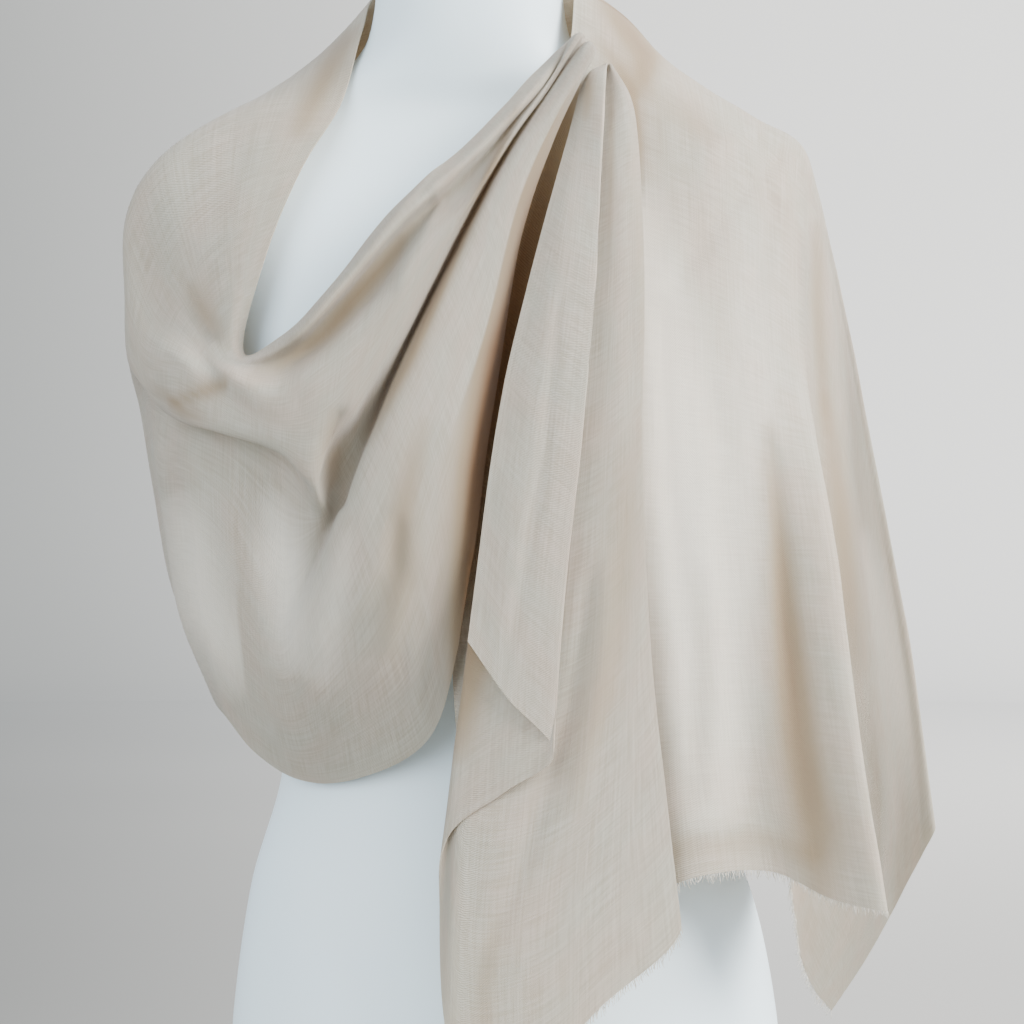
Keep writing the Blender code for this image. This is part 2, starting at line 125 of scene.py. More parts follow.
SHOULDER_COLUMNS = ("inner", "flat_1", "flat_2", "trough", "crest", "fold", "tuck",
                    "side_1", "side_2", "side_3", "selvedge")
SHOULDER_SECTIONS = (
    ("hem", (0, -112, 212), (84, -116, 214), (120, -122, 228), (163, -106, 229), (196, -118, 215),
     (224, -130, 210), (183, -20, 219), (187, 10, 184), (193, 30, 158), (202, 42, 139),
     (212, 50, 127)),
    ("hip", (-12, -112, 310), (84, -115, 312), (113, -118, 314), (150, -108, 314),
     (180, -112, 312), (209, -120, 308), (180, 0, 290), (204, 10, 280), (224, 20, 255),
     (236, 30, 215), (232, 45, 158)),
    ("waist", (-14, -117, 430), (84, -114, 428), (112, -110, 425), (140, -104, 424),
     (168, -101, 422), (196, -100, 420), (184, -30, 410), (212, -14, 395), (226, 2, 350),
     (242, 20, 265), (248, 40, 188)),
    ("chest", (8, -94, 575), (84, -84, 560), (112, -80, 550), (138, -74, 540),
     (162, -67, 528), (184, -56, 515), (190, -40, 510), (212, -8, 480), (228, 4, 410),
     (246, 18, 300), (256, 34, 206)),
    ("collarbone", (51, -44, 690), (84, -45, 670), (110, -45, 658), (135, -42, 645),
     (160, -37, 632), (184, -26, 616), (196, -14, 600), (212, -2, 545), (230, 6, 450),
     (252, 16, 330), (265, 28, 225)),
    ("ridge", (56, -10, 737), (84, -2, 719), (106, 0, 697), (133, 0, 677), (162, -1, 660),
     (188, -2, 644), (198, 0, 618), (212, 3, 560), (232, 8, 465), (256, 15, 345),
     (271, 24, 240)),
    ("behind", (58, 16, 740), (84, 26, 717), (108, 33, 694), (136, 36, 672), (162, 36, 652),
     (184, 36, 630), (194, 38, 602), (208, 44, 542), (226, 52, 450), (246, 62, 345),
     (258, 72, 258)),
    ("blade", (50, 38, 740), (76, 55, 708), (102, 68, 682), (128, 80, 654), (150, 89, 625),
     (168, 96, 594), (180, 102, 556), (190, 110, 505), (200, 118, 440), (212, 124, 365),
     (226, 122, 275)),
)
RIDGE_ROW = 5                  # the section where the shoulder end passes over the shoulder

# The back is worked out: (name, x of the upper edge, x of the lower edge, y of the lower edge,
# height of the upper edge, height of the lower edge)
BACK_SECTIONS = (
    ("right_back", 34.0, 128.0, 146.0, 741.0, 300.0),
    ("centre", -6.0, 4.0, 142.0, 742.0, 318.0),
    ("left_back", -44.0, -94.0, 134.0, 740.0, 330.0),
)

# columns: selvedge, slope, shoulder, hollow, ridge, lip, tuck, side_1, side_2, side_3, lower
ARM_SECTIONS = (
    ("blade", (-62, 28, 736), (-105, 60, 685), (-140, 80, 646), (-158, 94, 604),
     (-165, 104, 562), (-168, 110, 528), (-168, 114, 495), (-167, 118, 462), (-164, 120, 425),
     (-158, 118, 382), (-148, 112, 335)),
    ("rear", (-69, -14, 708), (-128, 22, 676), (-176, 30, 638), (-199, 36, 596), (-205, 42, 556),
     (-205, 48, 520), (-201, 52, 488), (-197, 54, 456), (-191, 54, 420), (-182, 52, 382),
     (-168, 48, 338)),
    ("side", (-79, -38, 665), (-135, -14, 663), (-188, -8, 634), (-207, -4, 602),
     (-208, -4, 555), (-206, -4, 516), (-197, 2, 500), (-192, 2, 470), (-185, 0, 425),
     (-177, -2, 372), (-162, -8, 335)),
    ("front", (-102, -60, 621), (-140, -50, 606), (-172, -42, 578), (-185, -34, 550),
     (-193, -44, 521), (-185, -50, 491), (-183, -28, 496), (-185, -28, 452), (-179, -28, 406),
     (-171, -26, 362), (-153, -26, 318)),
    ("cowl", (-124, -82, 557), (-138, -80, 549), (-153, -72, 535), (-159, -78, 522),
     (-162, -96, 508), (-163, -95, 478), (-161, -72, 483), (-163, -72, 446), (-160, -68, 401),
     (-155, -58, 355), (-146, -38, 311)),
    ("bend", (-131, -84, 516), (-132, -98, 513), (-136, -104, 510), (-138, -112, 504),
     (-139, -112, 493), (-140, -113, 472), (-137, -92, 478), (-137, -92, 424), (-136, -84, 379),
     (-133, -70, 333), (-128, -46, 290)),
)

# columns: edge, band, hollow, swell_1, swell_2, lip, tuck, valley, pleat, face, end
FRONT_SECTIONS = (
    ("low_1", (-104, -101, 529), (-103, -116, 522), (-106, -110, 512), (-109, -127, 494),
     (-110, -130, 478), (-110, -127, 462), (-107, -106, 466), (-108, -98, 379),
     (-110, -98, 351), (-106, -88, 316), (-99, -60, 275)),
    ("low_2", (-79, -105, 556), (-77, -119, 548), (-80, -110, 537), (-83, -131, 511),
     (-86, -136, 483), (-89, -131, 448), (-87, -123, 435), (-83, -107, 417), (-85, -120, 404),
     (-75, -114, 341), (-69, -78, 278)),
    ("mid_1", (-51, -105, 591), (-47, -118, 583), (-50, -109, 572), (-54, -132, 538),
     (-63, -137, 505), (-71, -133, 478), (-76, -114, 457), (-71, -109, 441), (-69, -127, 442),
     (-48, -133, 380), (-28, -104, 301)),
    ("mid_2", (-27, -102, 614), (-22, -114, 607), (-25, -106, 597), (-28, -126, 572),
     (-35, -131, 548), (-41, -130, 527), (-45, -124, 514), (-47, -113, 503), (-43, -130, 500),
     (-25, -138, 451), (-10, -126, 358)),
    ("high_1", (-4, -94, 635), (1, -107, 629), (-2, -100, 620), (-4, -116, 602),
     (-7, -120, 593), (-11, -119, 585), (-13, -114, 578), (-15, -107, 570), (-11, -122, 566),
     (2, -131, 525), (9, -122, 487)),
    ("high_2", (19, -84, 660), (25, -96, 655), (22, -90, 649), (21, -101, 641),
     (20, -103, 637), (18, -102, 634), (16, -97, 631), (15, -91, 628), (18, -107, 624),
     (23, -116, 603), (26, -106, 587)),
    ("neck", (38, -68, 682), (43, -80, 679), (43, -79, 675), (42, -84, 672),
     (41, -86, 670), (40, -86, 667), (38, -83, 665), (37, -80, 662), (42, -92, 661),
     (47, -98, 656), (48, -88, 650)),
    ("roll", (50, -60, 693), (53, -68, 696), (54, -70, 697), (56, -73, 698),
     (57, -76, 698), (59, -77, 697), (59, -76, 695), (60, -75, 693), (63, -82, 692),
     (66, -84, 687), (63, -78, 682)),
    ("root", (54, -53, 690), (56, -54, 692), (57, -55, 692), (58, -56, 691),
     (59, -57, 690), (59, -58, 689), (59, -58, 688), (60, -59, 687), (60, -62, 687),
     (61, -64, 686), (59, -62, 684)),
)

# The hanging end: a row for each vertical fold, from the free selvedge to the far side.
# Each fold gives its place (x, y) at nine heights, the first one tucked back below the top, and
# the height where the cloth ends below it.
HANGING_LEVELS = (684.0, 697.0, 688.0, 668.0, 640.0, 573.0, 489.0, 358.0, 203.0)
HANGING_FOLDS = (
    # name         root         top          lobe         throat       collar       chest
    #              rib          waist        hip          lower end
    ("free_edge", (72, -48), (71, -57), (70, -66), (58, -75), (51, -92), (33, -120),
     (13, -135), (-5, -142), (-8, -142), 358.0),
    ("face_1", (72, -50), (71, -60), (70, -71), (61, -80), (57, -97), (47, -128),
     (33, -142), (17, -147), (12, -147), 328.0),
    ("front_fold", (73, -52), (72, -62), (72, -75), (71, -86), (69, -103), (66, -131),
     (59, -144), (45, -148), (38, -147), 297.0),
    ("back_1", (73, -50), (72, -60), (71, -69), (64, -78), (60, -94), (50, -122),
     (38, -137), (20, -142), (10, -141), 276.0),
    ("left_turn", (73, -47), (71, -55), (70, -62), (60, -72), (53, -87), (37, -115),
     (18, -130), (-3, -136), (-21, -134), 252.0),
    ("margin", (73, -46), (71, -53), (70, -60), (61, -69), (55, -84), (39, -112),
     (20, -127), (-2, -132), (-22, -129), 214.0),
    ("ridge", (74, -48), (72, -56), (71, -63), (65, -73), (59, -88), (47, -115),
     (30, -130), (6, -136), (-7, -135), 120.0),
    ("face_2", (75, -50), (73, -60), (74, -70), (73, -79), (70, -94), (66, -119),
     (58, -131), (46, -137), (30, -139), 126.0),
    ("swell", (75, -51), (74, -62), (77, -73), (81, -82), (82, -97), (81, -120),
     (79, -130), (77, -136), (68, -138), 160.0),
    ("right_fold", (76, -49), (75, -59), (80, -67), (85, -76), (88, -88), (91, -112),
     (89, -123), (94, -129), (111, -132), 203.0),
    ("hidden_1", (76, -47), (75, -55), (78, -61), (80, -69), (81, -82), (78, -105),
     (70, -118), (66, -124), (74, -126), 236.0),
    ("hidden_2", (75, -45), (73, -51), (75, -57), (72, -65), (68, -79), (58, -103),
     (46, -116), (36, -123), (36, -124), 272.0),
)
HEM_START = 6                  # the fold at which the selvedge gives way to the short edge


# ---------------------------------------------------------------- creases
# Each crease: the stretch it lies on, height (ridges above zero, troughs below), then its line as
# (first coordinate, height above the base, half width).  The first coordinate is x for a stretch
# seen from the front or the back and y for one seen from the side.
WRAP_CREASES = (
    # stretch          view     height  line
    ("arm", "front", -4.0, ((-176, 562, 8), (-161, 541, 10), (-148, 524, 9))),
    ("front", "front", -5.5, ((-73, 484, 6), (-78, 464, 11), (-80, 446, 13), (-77, 428, 9))),
    ("front", "front", -3.5, ((-40, 580, 5), (-62, 549, 8), (-90, 520, 10), (-116, 506, 9))),
    ("front", "front", 1.6, ((-20, 622, 3), (-48, 585, 5), (-78, 549, 5), (-104, 524, 5))),
    ("front", "front", -3.0, ((-19, 606, 6), (-37, 583, 9), (-51, 564, 10), (-67, 542, 9))),
    ("front", "front", 1.5, ((-24, 610, 4), (-21, 598, 6), (-29, 580, 7), (-45, 550, 8))),
    ("front", "front", -3.0, ((-41, 424, 7), (-47, 391, 10), (-73, 355, 12), (-92, 332, 12))),
    ("front", "front", -1.2, ((-42, 428, 5), (-45, 410, 8), (-43, 392, 7))),
    ("front", "front", 1.6, ((-37, 388, 6), (-46, 358, 8), (-60, 328, 8))),
    ("front", "front", -1.2, ((-41, 365, 2), (-38, 329, 3), (-33, 313, 3), (-28, 302, 3))),
    ("front", "front", 1.2, ((-36, 365, 3), (-33, 329, 4), (-28, 313, 4), (-23, 302, 4))),
    ("front", "front", -2.5, ((-4, 410, 4), (-9, 365, 5), (-13, 320, 5))),
    ("shoulder", "front", -2.6, ((187, 642, 3), (171, 630, 5), (150, 609, 8), (124, 577, 11),
                                 (108, 552, 13))),
    ("shoulder", "front", -1.6, ((172, 609, 4), (163, 573, 8), (149, 530, 10))),
    ("shoulder", "front", 1.2, ((165, 651, 4), (140, 640, 6), (121, 630, 7))),
    ("side", "front", -2.5, ((196, 595, 5), (195, 549, 7), (200, 478, 8))),
    ("shoulder", "front", -3.2, ((164, 470, 6), (169, 379, 10), (176, 300, 13), (185, 225, 13))),
    ("shoulder", "front", 1.8, ((122, 540, 9), (126, 435, 12), (130, 324, 12), (131, 215, 11))),
    ("shoulder", "front", -1.8, ((103, 548, 8), (105, 446, 11), (117, 357, 12), (122, 230, 10))),
    ("shoulder", "front", -0.8, ((92, 438, 4), (109, 442, 4), (126, 447, 4))),
    ("arm", "front", -1.2, ((-138, 455, 7), (-150, 423, 9), (-152, 378, 10), (-139, 325, 8))),
    ("arm", "front", -1.0, ((-175, 472, 5), (-170, 435, 7), (-166, 385, 7))),
    ("back", "back", -6.0, ((92, 655, 9), (112, 560, 16), (128, 450, 20), (140, 330, 18))),
    ("back", "back", 4.0, ((58, 662, 9), (70, 560, 15), (82, 440, 19), (88, 310, 18))),
    ("back", "back", -5.0, ((22, 690, 9), (24, 590, 15), (34, 470, 19), (46, 330, 18))),
    ("back", "back", 3.5, ((-14, 690, 9), (-20, 590, 15), (-10, 460, 19), (2, 330, 18))),
    ("back", "back", -5.0, ((-56, 668, 9), (-76, 580, 15), (-60, 440, 19), (-36, 330, 16))),
    ("back", "back", 3.0, ((-96, 640, 9), (-118, 560, 14), (-108, 450, 17), (-84, 345, 14))),
    ("back", "back", -3.5, ((-138, 630, 8), (-156, 560, 13), (-150, 470, 15), (-128, 360, 12))),
    ("back", "back", -2.0, ((190, 600, 8), (160, 520, 13), (118, 440, 15), (70, 400, 12))),
    ("side", "side", 2.5, ((36, 600, 7), (46, 500, 10), (52, 400, 12), (48, 260, 12))),
    ("side", "side", -3.0, ((66, 600, 8), (76, 500, 11), (84, 400, 13), (80, 290, 12))),
    ("arm", "side", -2.5, ((60, 600, 8), (66, 520, 10), (70, 440, 12), (66, 350, 10))),
    ("arm", "side", 2.0, ((30, 620, 7), (30, 540, 9), (34, 450, 11), (36, 350, 10))),
)
HANGING_CREASES = (
    ("face", "front", -2.0, ((72, 410, 8), (67, 337, 11), (54, 272, 12), (34, 236, 10))),
    ("face", "front", 1.2, ((45, 548, 4), (37, 462, 6), (23, 380, 7), (12, 331, 6))),
    ("face", "front", -1.8, ((84, 655, 4), (89, 544, 7), (97, 435, 9), (102, 350, 9))),
    ("face", "front", 1.6, ((62, 400, 6), (50, 320, 9), (28, 250, 10), (8, 190, 9))),
)

# Painted light and shade: places where the cloth is painted paler (above zero, light coming through
# one layer over the form) or deeper in colour (below zero, painted shade in doubled layers, fold
# bottoms and deep inside folds), laid out as the creases are.
WRAP_PAINTED_LIGHT = (
    ("shoulder", "front", 1.0, ((66, 655, 14), (92, 590, 30), (108, 500, 36), (118, 390, 34),
                                (124, 300, 26), (126, 235, 16))),
    ("shoulder", "front", 0.45, ((140, 640, 20), (156, 570, 34), (156, 480, 34), (146, 380, 26),
                                 (142, 290, 20), (142, 230, 14))),
    ("shoulder", "front", -1.35, ((162, 480, 8), (169, 379, 14), (177, 300, 19), (187, 250, 23),
                                 (189, 205, 14))),
    ("shoulder", "front", -0.4, ((124, 400, 10), (126, 330, 13), (123, 265, 14))),
    ("shoulder", "front", -0.5, ((84, 232, 10), (120, 246, 12), (160, 246, 12), (190, 236, 10))),
    ("side", "front", -0.7, ((197, 600, 7), (196, 549, 9), (201, 470, 9))),
    ("side", "front", -0.8, ((200, 500, 10), (210, 435, 14), (217, 376, 15), (224, 330, 12))),
    ("side", "front", 0.7, ((226, 420, 10), (240, 360, 14), (256, 290, 16), (266, 240, 12))),
    ("side", "front", -0.45, ((190, 220, 14), (196, 180, 14), (206, 150, 12))),
    ("back", "front", 1.0, ((-48, 750, 9), (-60, 728, 10), (-68, 704, 9))),
    ("arm", "front", -0.9, ((-74, 716, 12), (-90, 680, 14), (-106, 640, 10))),
    ("arm", "front", -0.6, ((-165, 560, 8), (-155, 540, 10), (-140, 521, 8))),
    ("arm", "front", -0.9, ((-128, 502, 8), (-150, 495, 7), (-174, 488, 5))),
    ("front", "front", -1.0, ((-33, 589, 5), (-50, 567, 9), (-83, 526, 12), (-110, 508, 11),
                              (-128, 502, 8))),
    ("arm", "front", 0.9, ((-172, 440, 30), (-158, 375, 34), (-128, 325, 30))),
    ("front", "front", 0.95, ((-116, 440, 16), (-106, 390, 24), (-100, 335, 20))),
    ("front", "front", 0.5, ((-70, 420, 8), (-78, 380, 14), (-86, 330, 12))),
    ("front", "front", -1.4, ((24, 655, 4), (-4, 590, 6), (-36, 515, 8), (-62, 465, 9))),
    ("front", "front", -0.6, ((-1, 410, 4), (-6, 365, 5), (-11, 318, 5))),
    ("front", "front", -0.6, ((-77, 486, 6), (-80, 464, 9), (-81, 440, 8))),
    ("arm", "front", -0.7, ((-188, 500, 4), (-176, 494, 5), (-164, 484, 5), (-150, 480, 5))),
    ("front_inner", "front", -2.0, ((52, 672, 16), (32, 601, 20), (21, 546, 20), (12, 515, 20),
                                    (1, 451, 20), (-7, 368, 18), (-10, 320, 12))),
    ("shoulder", "front", -2.0, ((56, 680, 14), (42, 628, 18), (28, 577, 20), (14, 515, 20),
                                 (1, 451, 20), (-7, 368, 18))),
    ("shoulder", "front", -1.35, ((68, 732, 10), (84, 714, 16), (97, 694, 17), (92, 664, 11))),
    ("back", "front", -0.8, ((60, 742, 12), (78, 722, 14), (100, 702, 12))),
    ("shoulder", "front", -0.45, ((100, 672, 14), (118, 656, 18), (138, 640, 14))),
    ("front", "front", -0.75, ((-28, 480, 8), (-40, 430, 14), (-42, 390, 18), (-54, 345, 14))),
    ("shoulder", "front", -1.0, ((66, 704, 6), (80, 684, 8), (88, 664, 7), (91, 640, 5),
                                 (92, 600, 4))),
)
HANGING_PAINTED_LIGHT = (
    ("first_back", "front", -2.0, ((56, 680, 20), (40, 601, 26), (20, 515, 26), (-2, 368, 24),
                                   (-12, 290, 14))),
    ("face", "front", -0.8, ((62, 682, 5), (62, 664, 6), (60, 645, 5))),
    ("face", "front", -0.5, ((74, 690, 3), (75, 660, 3), (74, 620, 3), (72, 560, 2))),
    ("last_back", "front", -1.2, ((80, 650, 20), (70, 560, 24), (60, 400, 26), (50, 300, 20))),
    ("face", "front", -0.5, ((12, 210, 8), (4, 170, 9), (6, 140, 8))),
    ("face", "front", -0.35, ((86, 660, 5), (92, 544, 8), (98, 435, 9))),
    ("face", "front", -0.55, ((84, 480, 12), (80, 410, 18), (68, 330, 18), (50, 262, 14))),
)


# ---------------------------------------------------------------- settings
class ShawlSizes(bpy.types.PropertyGroup):
    """Sizes of the cloth and its fringe."""

    thickness: FloatProperty(
        name="Cloth thickness", description="Thickness of the cloth shells",
        default=0.7 * MM, min=0.3 * MM, max=1.5 * MM, precision=5, subtype="DISTANCE")
    spacing: FloatProperty(
        name="Mesh spacing", description="Length of a face on the cloth",
        default=4.6 * MM, min=1.5 * MM, max=10.0 * MM, precision=5, subtype="DISTANCE")
    clearance: FloatProperty(
        name="Clearance", description="Air between the cloth and the form",
        default=1.2 * MM, min=0.2 * MM, max=5.0 * MM, precision=5, subtype="DISTANCE")
    twill_pitch: FloatProperty(
        name="Twill pitch", description="Distance between two ribs of the twill",
        default=0.85 * MM, min=0.3 * MM, max=4.0 * MM, precision=5, subtype="DISTANCE")
    fringe_length: FloatProperty(
        name="Fringe length", description="Reach of the loose warp ends",
        default=6.5 * MM, min=2.0 * MM, max=12.0 * MM, precision=5, subtype="DISTANCE")
    fringe_spacing: FloatProperty(
        name="Fringe spacing", description="Distance between two loose warp ends",
        default=0.85 * MM, min=0.3 * MM, max=4.0 * MM, precision=5, subtype="DISTANCE")
    fringe_width: FloatProperty(
        name="Fringe width", description="Thickness of a loose end where it leaves the cloth",
        default=0.5 * MM, min=0.1 * MM, max=2.0 * MM, precision=5, subtype="DISTANCE")
    fringe_seed: IntProperty(
        name="Fringe seed", description="Changes the lie of the loose ends",
        default=7, min=0, max=1000)


def colour_setting(name, description, default):
    """A colour property with its name in the panel, its description and its default."""
    return FloatVectorProperty(name=name, description=description, default=default,
                               subtype="COLOR", min=0.0, max=1.0)


class ShawlColours(bpy.types.PropertyGroup):
    """Colours of the cloth, the fringe and the form."""

    cloth: colour_setting("Cloth", "Main colour of the cloth", (0.505, 0.455, 0.365))
    cloth_light: colour_setting(
        "Pale threads", "Colour of the palest threads", (0.705, 0.665, 0.590))
    # Painted light: pale colour for light coming through one layer over the white form.
    cloth_painted_light: colour_setting(
        "Thin cloth", "Colour where one layer lies over the white form", (0.97, 0.925, 0.82))
    # Painted shade: deeper colours for doubled layers, fold bottoms and the inside of folds.
    cloth_painted_shade: colour_setting(
        "Doubled cloth", "Colour where folded layers lie over each other", (0.40, 0.305, 0.20))
    cloth_painted_deep_shade: colour_setting(
        "Inside of a fold", "Colour deep between two folds", (0.22, 0.11, 0.045))
    cloth_warm: colour_setting(
        "Light through the cloth", "Colour of light that comes through", (0.82, 0.66, 0.46))
    form: colour_setting("Form", "Colour of the dress form", (0.82, 0.95, 1.0))
    backdrop: colour_setting("Backdrop", "Colour of the floor and the backdrop", (0.76, 0.75, 0.72))


# ---------------------------------------------------------------- curves and surfaces
def span_points(before, start, end, after, part):
    """Points on the centripetal Catmull-Rom curves between start and end, for many lines."""
    def gap(first, second):
        return np.sqrt(np.maximum(np.linalg.norm(second - first, axis=-1, keepdims=True), 1e-6))

    t1 = gap(before, start)
    t2 = t1 + gap(start, end)
    t3 = t2 + gap(end, after)
    t = t1 + (t2 - t1) * part
    a1 = (t1 - t) / t1 * before + t / t1 * start
    a2 = (t2 - t) / (t2 - t1) * start + (t - t1) / (t2 - t1) * end
    a3 = (t3 - t) / (t3 - t2) * end + (t - t2) / (t3 - t2) * after
    b1 = (t2 - t) / t2 * a1 + t / t2 * a2
    b2 = (t3 - t) / (t3 - t1) * a2 + (t - t1) / (t3 - t1) * a3
    return (t2 - t) / (t2 - t1) * b1 + (t - t1) / (t2 - t1) * b2


def smooth_lines(points, steps):
    """Smooth curves along the first axis of points, with steps[i] equal steps in span i."""
    points = np.asarray(points, dtype=float)
    padded = np.concatenate(([2.0 * points[0] - points[1]], points,
                             [2.0 * points[-1] - points[-2]]))
    rows = []
    for index, count in enumerate(steps):
        for step in range(count):
            rows.append(span_points(*padded[index:index + 4], step / count))
    rows.append(points[-1])
    return np.array(rows)


def span_steps(points, spacing, least=2):
    """How many steps each span along the first axis needs, for the widest of its lines."""
    gaps = np.linalg.norm(np.diff(np.asarray(points, dtype=float), axis=0), axis=-1)
    reach = 0.6 * gaps.mean(axis=1) + 0.4 * gaps.max(axis=1)
    return [max(least, int(math.ceil(value / spacing))) for value in reach]


def loft(sections, spacing):
    """Fine grid through sections, with the steps of every span along it and across it."""
    table = np.asarray(sections, dtype=float)
    along = span_steps(table, spacing)
    across = span_steps(table.transpose(1, 0, 2), spacing)
    fine = smooth_lines(table.transpose(1, 0, 2), across).transpose(1, 0, 2)
    return smooth_lines(fine, along), along, across


def ring_value(height, column):
    """A dress form ring's value at any height, or many, by straight steps between rings."""
    heights = [ring[0] for ring in FORM_RINGS]
    values = [ring[column] for ring in FORM_RINGS]
    return np.interp(height, heights, values)


def back_section(x_top, x_low, y_low, z_top, z_low):
    """A section down the back: over the neck and shoulder blades, then straight down."""
    count = len(SHOULDER_COLUMNS)
    points = []
    for index in range(count):
        share = index / (count - 1)
        height = z_top + (z_low - z_top) * share
        x = x_top + (x_low - x_top) * math.sin(0.5 * math.pi * share)
        ease = BACK_EASE + NECK_EASE * min(max((height - NECK_FOOT) / NECK_BLEND, 0.0), 1.0)
        half = ring_value(height, HALF) + ease
        depth = ring_value(height, BEHIND) + ease
        reach = min(abs(x - ring_value(height, SHIFT)) / half, BACK_REACH)
        on_form = depth * (1.0 - reach ** RING_SQUARENESS) ** (1.0 / RING_SQUARENESS)
        blade = ring_value(BLADE_HEIGHT, BEHIND) + BACK_EASE + BLADE_EASE
        fall = min(max((HANG_START - height) / HANG_SPAN, 0.0), 1.0)
        drop = min(max((HANG_LEVEL - height) / (HANG_LEVEL - z_low), 0.0), 1.0)
        hanging = blade + (y_low - blade) * drop
        side = (1.0 - (min(abs(x) / BACK_HALF, 1.0)) ** 3) ** 0.5
        straight = hanging * side + y_low * (1.0 - side)
        y = max(on_form, straight * fall + on_form * (1.0 - fall))
        points.append((x, y, height))
    return points


def hanging_sections():
    """Sections across the folds of the hanging end, from the gather down to its lower edge."""
    columns = []
    for fold in HANGING_FOLDS:
        places = fold[1:-1]
        low = fold[-1]
        line = [(x, y, z) for (x, y), z in zip(places, HANGING_LEVELS)]
        kept = [point for point in line if point[2] > low + FOLD_MARGIN]
        xs, ys, zs = zip(*line[:0:-1])
        kept.append((float(np.interp(low, zs, xs)), float(np.interp(low, zs, ys)), low))
        smooth = smooth_lines(kept, [FOLD_STEPS] * (len(kept) - 1))
        columns.append(resample(smooth, len(HANGING_LEVELS)))
    return [[column[row] for column in columns] for row in range(len(HANGING_LEVELS))]


def resample(curve, count):
    """The same curve with the given number of points, evenly spaced along it."""
    lengths = np.linalg.norm(np.diff(curve, axis=0), axis=1)
    travelled = np.concatenate(([0.0], np.cumsum(lengths)))
    targets = np.linspace(0.0, travelled[-1], count)
    return np.array([[np.interp(target, travelled, curve[:, axis]) for axis in range(3)]
                     for target in targets])


def grid_normals(grid):
    """Unit normals at the points of a grid, from the slopes of its rows and columns."""
    down = np.gradient(grid, axis=0)
    across = np.gradient(grid, axis=1)
    normals = np.cross(across, down)
    length = np.linalg.norm(normals, axis=2, keepdims=True)
    return normals / np.maximum(length, 1e-9)


def soften(grid, rounds, amount=0.5):
    """Even out a grid by moving its inner points towards the mean of their neighbours."""
    for _ in range(rounds):
        mean = 0.25 * (grid[:-2, 1:-1] + grid[2:, 1:-1] + grid[1:-1, :-2] + grid[1:-1, 2:])
        grid[1:-1, 1:-1] += (mean - grid[1:-1, 1:-1]) * amount
        for line in (grid[0], grid[-1]):
            line[1:-1] += (0.5 * (line[:-2] + line[2:]) - line[1:-1]) * amount
        for line in (grid[:, 0], grid[:, -1]):
            line[1:-1] += (0.5 * (line[:-2] + line[2:]) - line[1:-1]) * amount
    return grid


def crease_height(flat, line):
    """How strongly a crease acts at each point: one on its line, fading to its half width."""
    line = np.asarray(line, dtype=float)
    best = np.zeros(flat.shape[:2])
    travelled = np.concatenate(([0.0], np.cumsum(np.linalg.norm(np.diff(line[:, :2], axis=0),
                                                                axis=1))))
    whole = travelled[-1]
    for index in range(len(line) - 1):
        start, end = line[index], line[index + 1]
        step = end[:2] - start[:2]
        length = float(np.dot(step, step))
        share = np.clip(((flat - start[:2]) @ step) / length, 0.0, 1.0)
        nearest = start[:2] + share[..., None] * step
        away = np.linalg.norm(flat - nearest, axis=-1)
        width = start[2] + (end[2] - start[2]) * share
        place = (travelled[index] + share * math.sqrt(length)) / whole
        taper = np.sqrt(np.clip(np.sin(np.pi * np.clip(place, 0.0, 1.0)), 0.0, 1.0))
        strength = np.exp(-(away / (CREASE_FALLOFF * width)) ** 2) * taper
        best = np.maximum(best, strength)
    return best


def table_sum(grid, table, regions, front_share=1.0):
    """What a table of creases or tones adds up to at each point of a grid."""
    total = np.zeros(grid.shape[:2])
    for stretch, view, strength, line in table:
        rows, columns = regions[stretch]
        mask = np.zeros(grid.shape[:2])
        mask[rows[0]:rows[1] + 1, columns[0]:columns[1] + 1] = 1.0
        if view == "front":
            mask *= front_share
        flat = grid[:, :, (1, 2)] if view == "side" else grid[:, :, (0, 2)]
        total += strength * mask * crease_height(flat, line)
    return total


def add_creases(grid, creases, regions):
    """Move a grid's points along its normals by every crease of the table."""
    return grid + grid_normals(grid) * table_sum(grid, creases, regions)[..., None]


def painted_light_map(grid, tones, regions):
    """How much painted light (paler) or painted shade (deeper) the cloth gets at each point, with
    the front's painted light and shade faded out behind.
    """
    front_share = np.clip((SIDE_DEPTH - grid[:, :, 1]) / SIDE_DEPTH, 0.0, 1.0)
    return np.clip(table_sum(grid, tones, regions, front_share), DEEPEST_PAINTED_SHADE, PALEST_PAINTED_LIGHT)


def ripple(grid, amount, scale, seed):
    """Gentle unevenness of hanging cloth: noise stretched along the fall of the folds."""
    normals = grid_normals(grid)
    shift = Vector((seed * 3.1, seed * 1.7, seed * 0.9))
    lift = np.zeros(grid.shape[:2])
    for row in range(grid.shape[0]):
        for column in range(grid.shape[1]):
            x, y, z = grid[row, column]
            spot = Vector((x / scale, y / scale, z / (2.6 * scale))) + shift
            lift[row, column] = noise.noise(spot) + 0.4 * noise.noise(spot * 2.3)
    return grid + normals * (lift * amount)[..., None]


def clear_of_form(grid, clearance):
    """Push every point that is too close to the dress form out to the clearance."""
    z = grid[:, :, 2]
    x = grid[:, :, 0] - ring_value(z, SHIFT)
    y = grid[:, :, 1]
    depth = np.where(y > 0.0, ring_value(z, BEHIND), ring_value(z, AHEAD)) + clearance
    half = ring_value(z, HALF) + clearance
    reach = (np.abs(x / half) ** RING_SQUARENESS
             + np.abs(y / depth) ** RING_SQUARENESS) ** (1.0 / RING_SQUARENESS)
    grow = np.where((reach < 1.0) & (z < NECK_TOP), 1.0 / np.maximum(reach, 0.2), 1.0)
    grid[:, :, 0] += x * (grow - 1.0)
    grid[:, :, 1] *= grow
    return grid


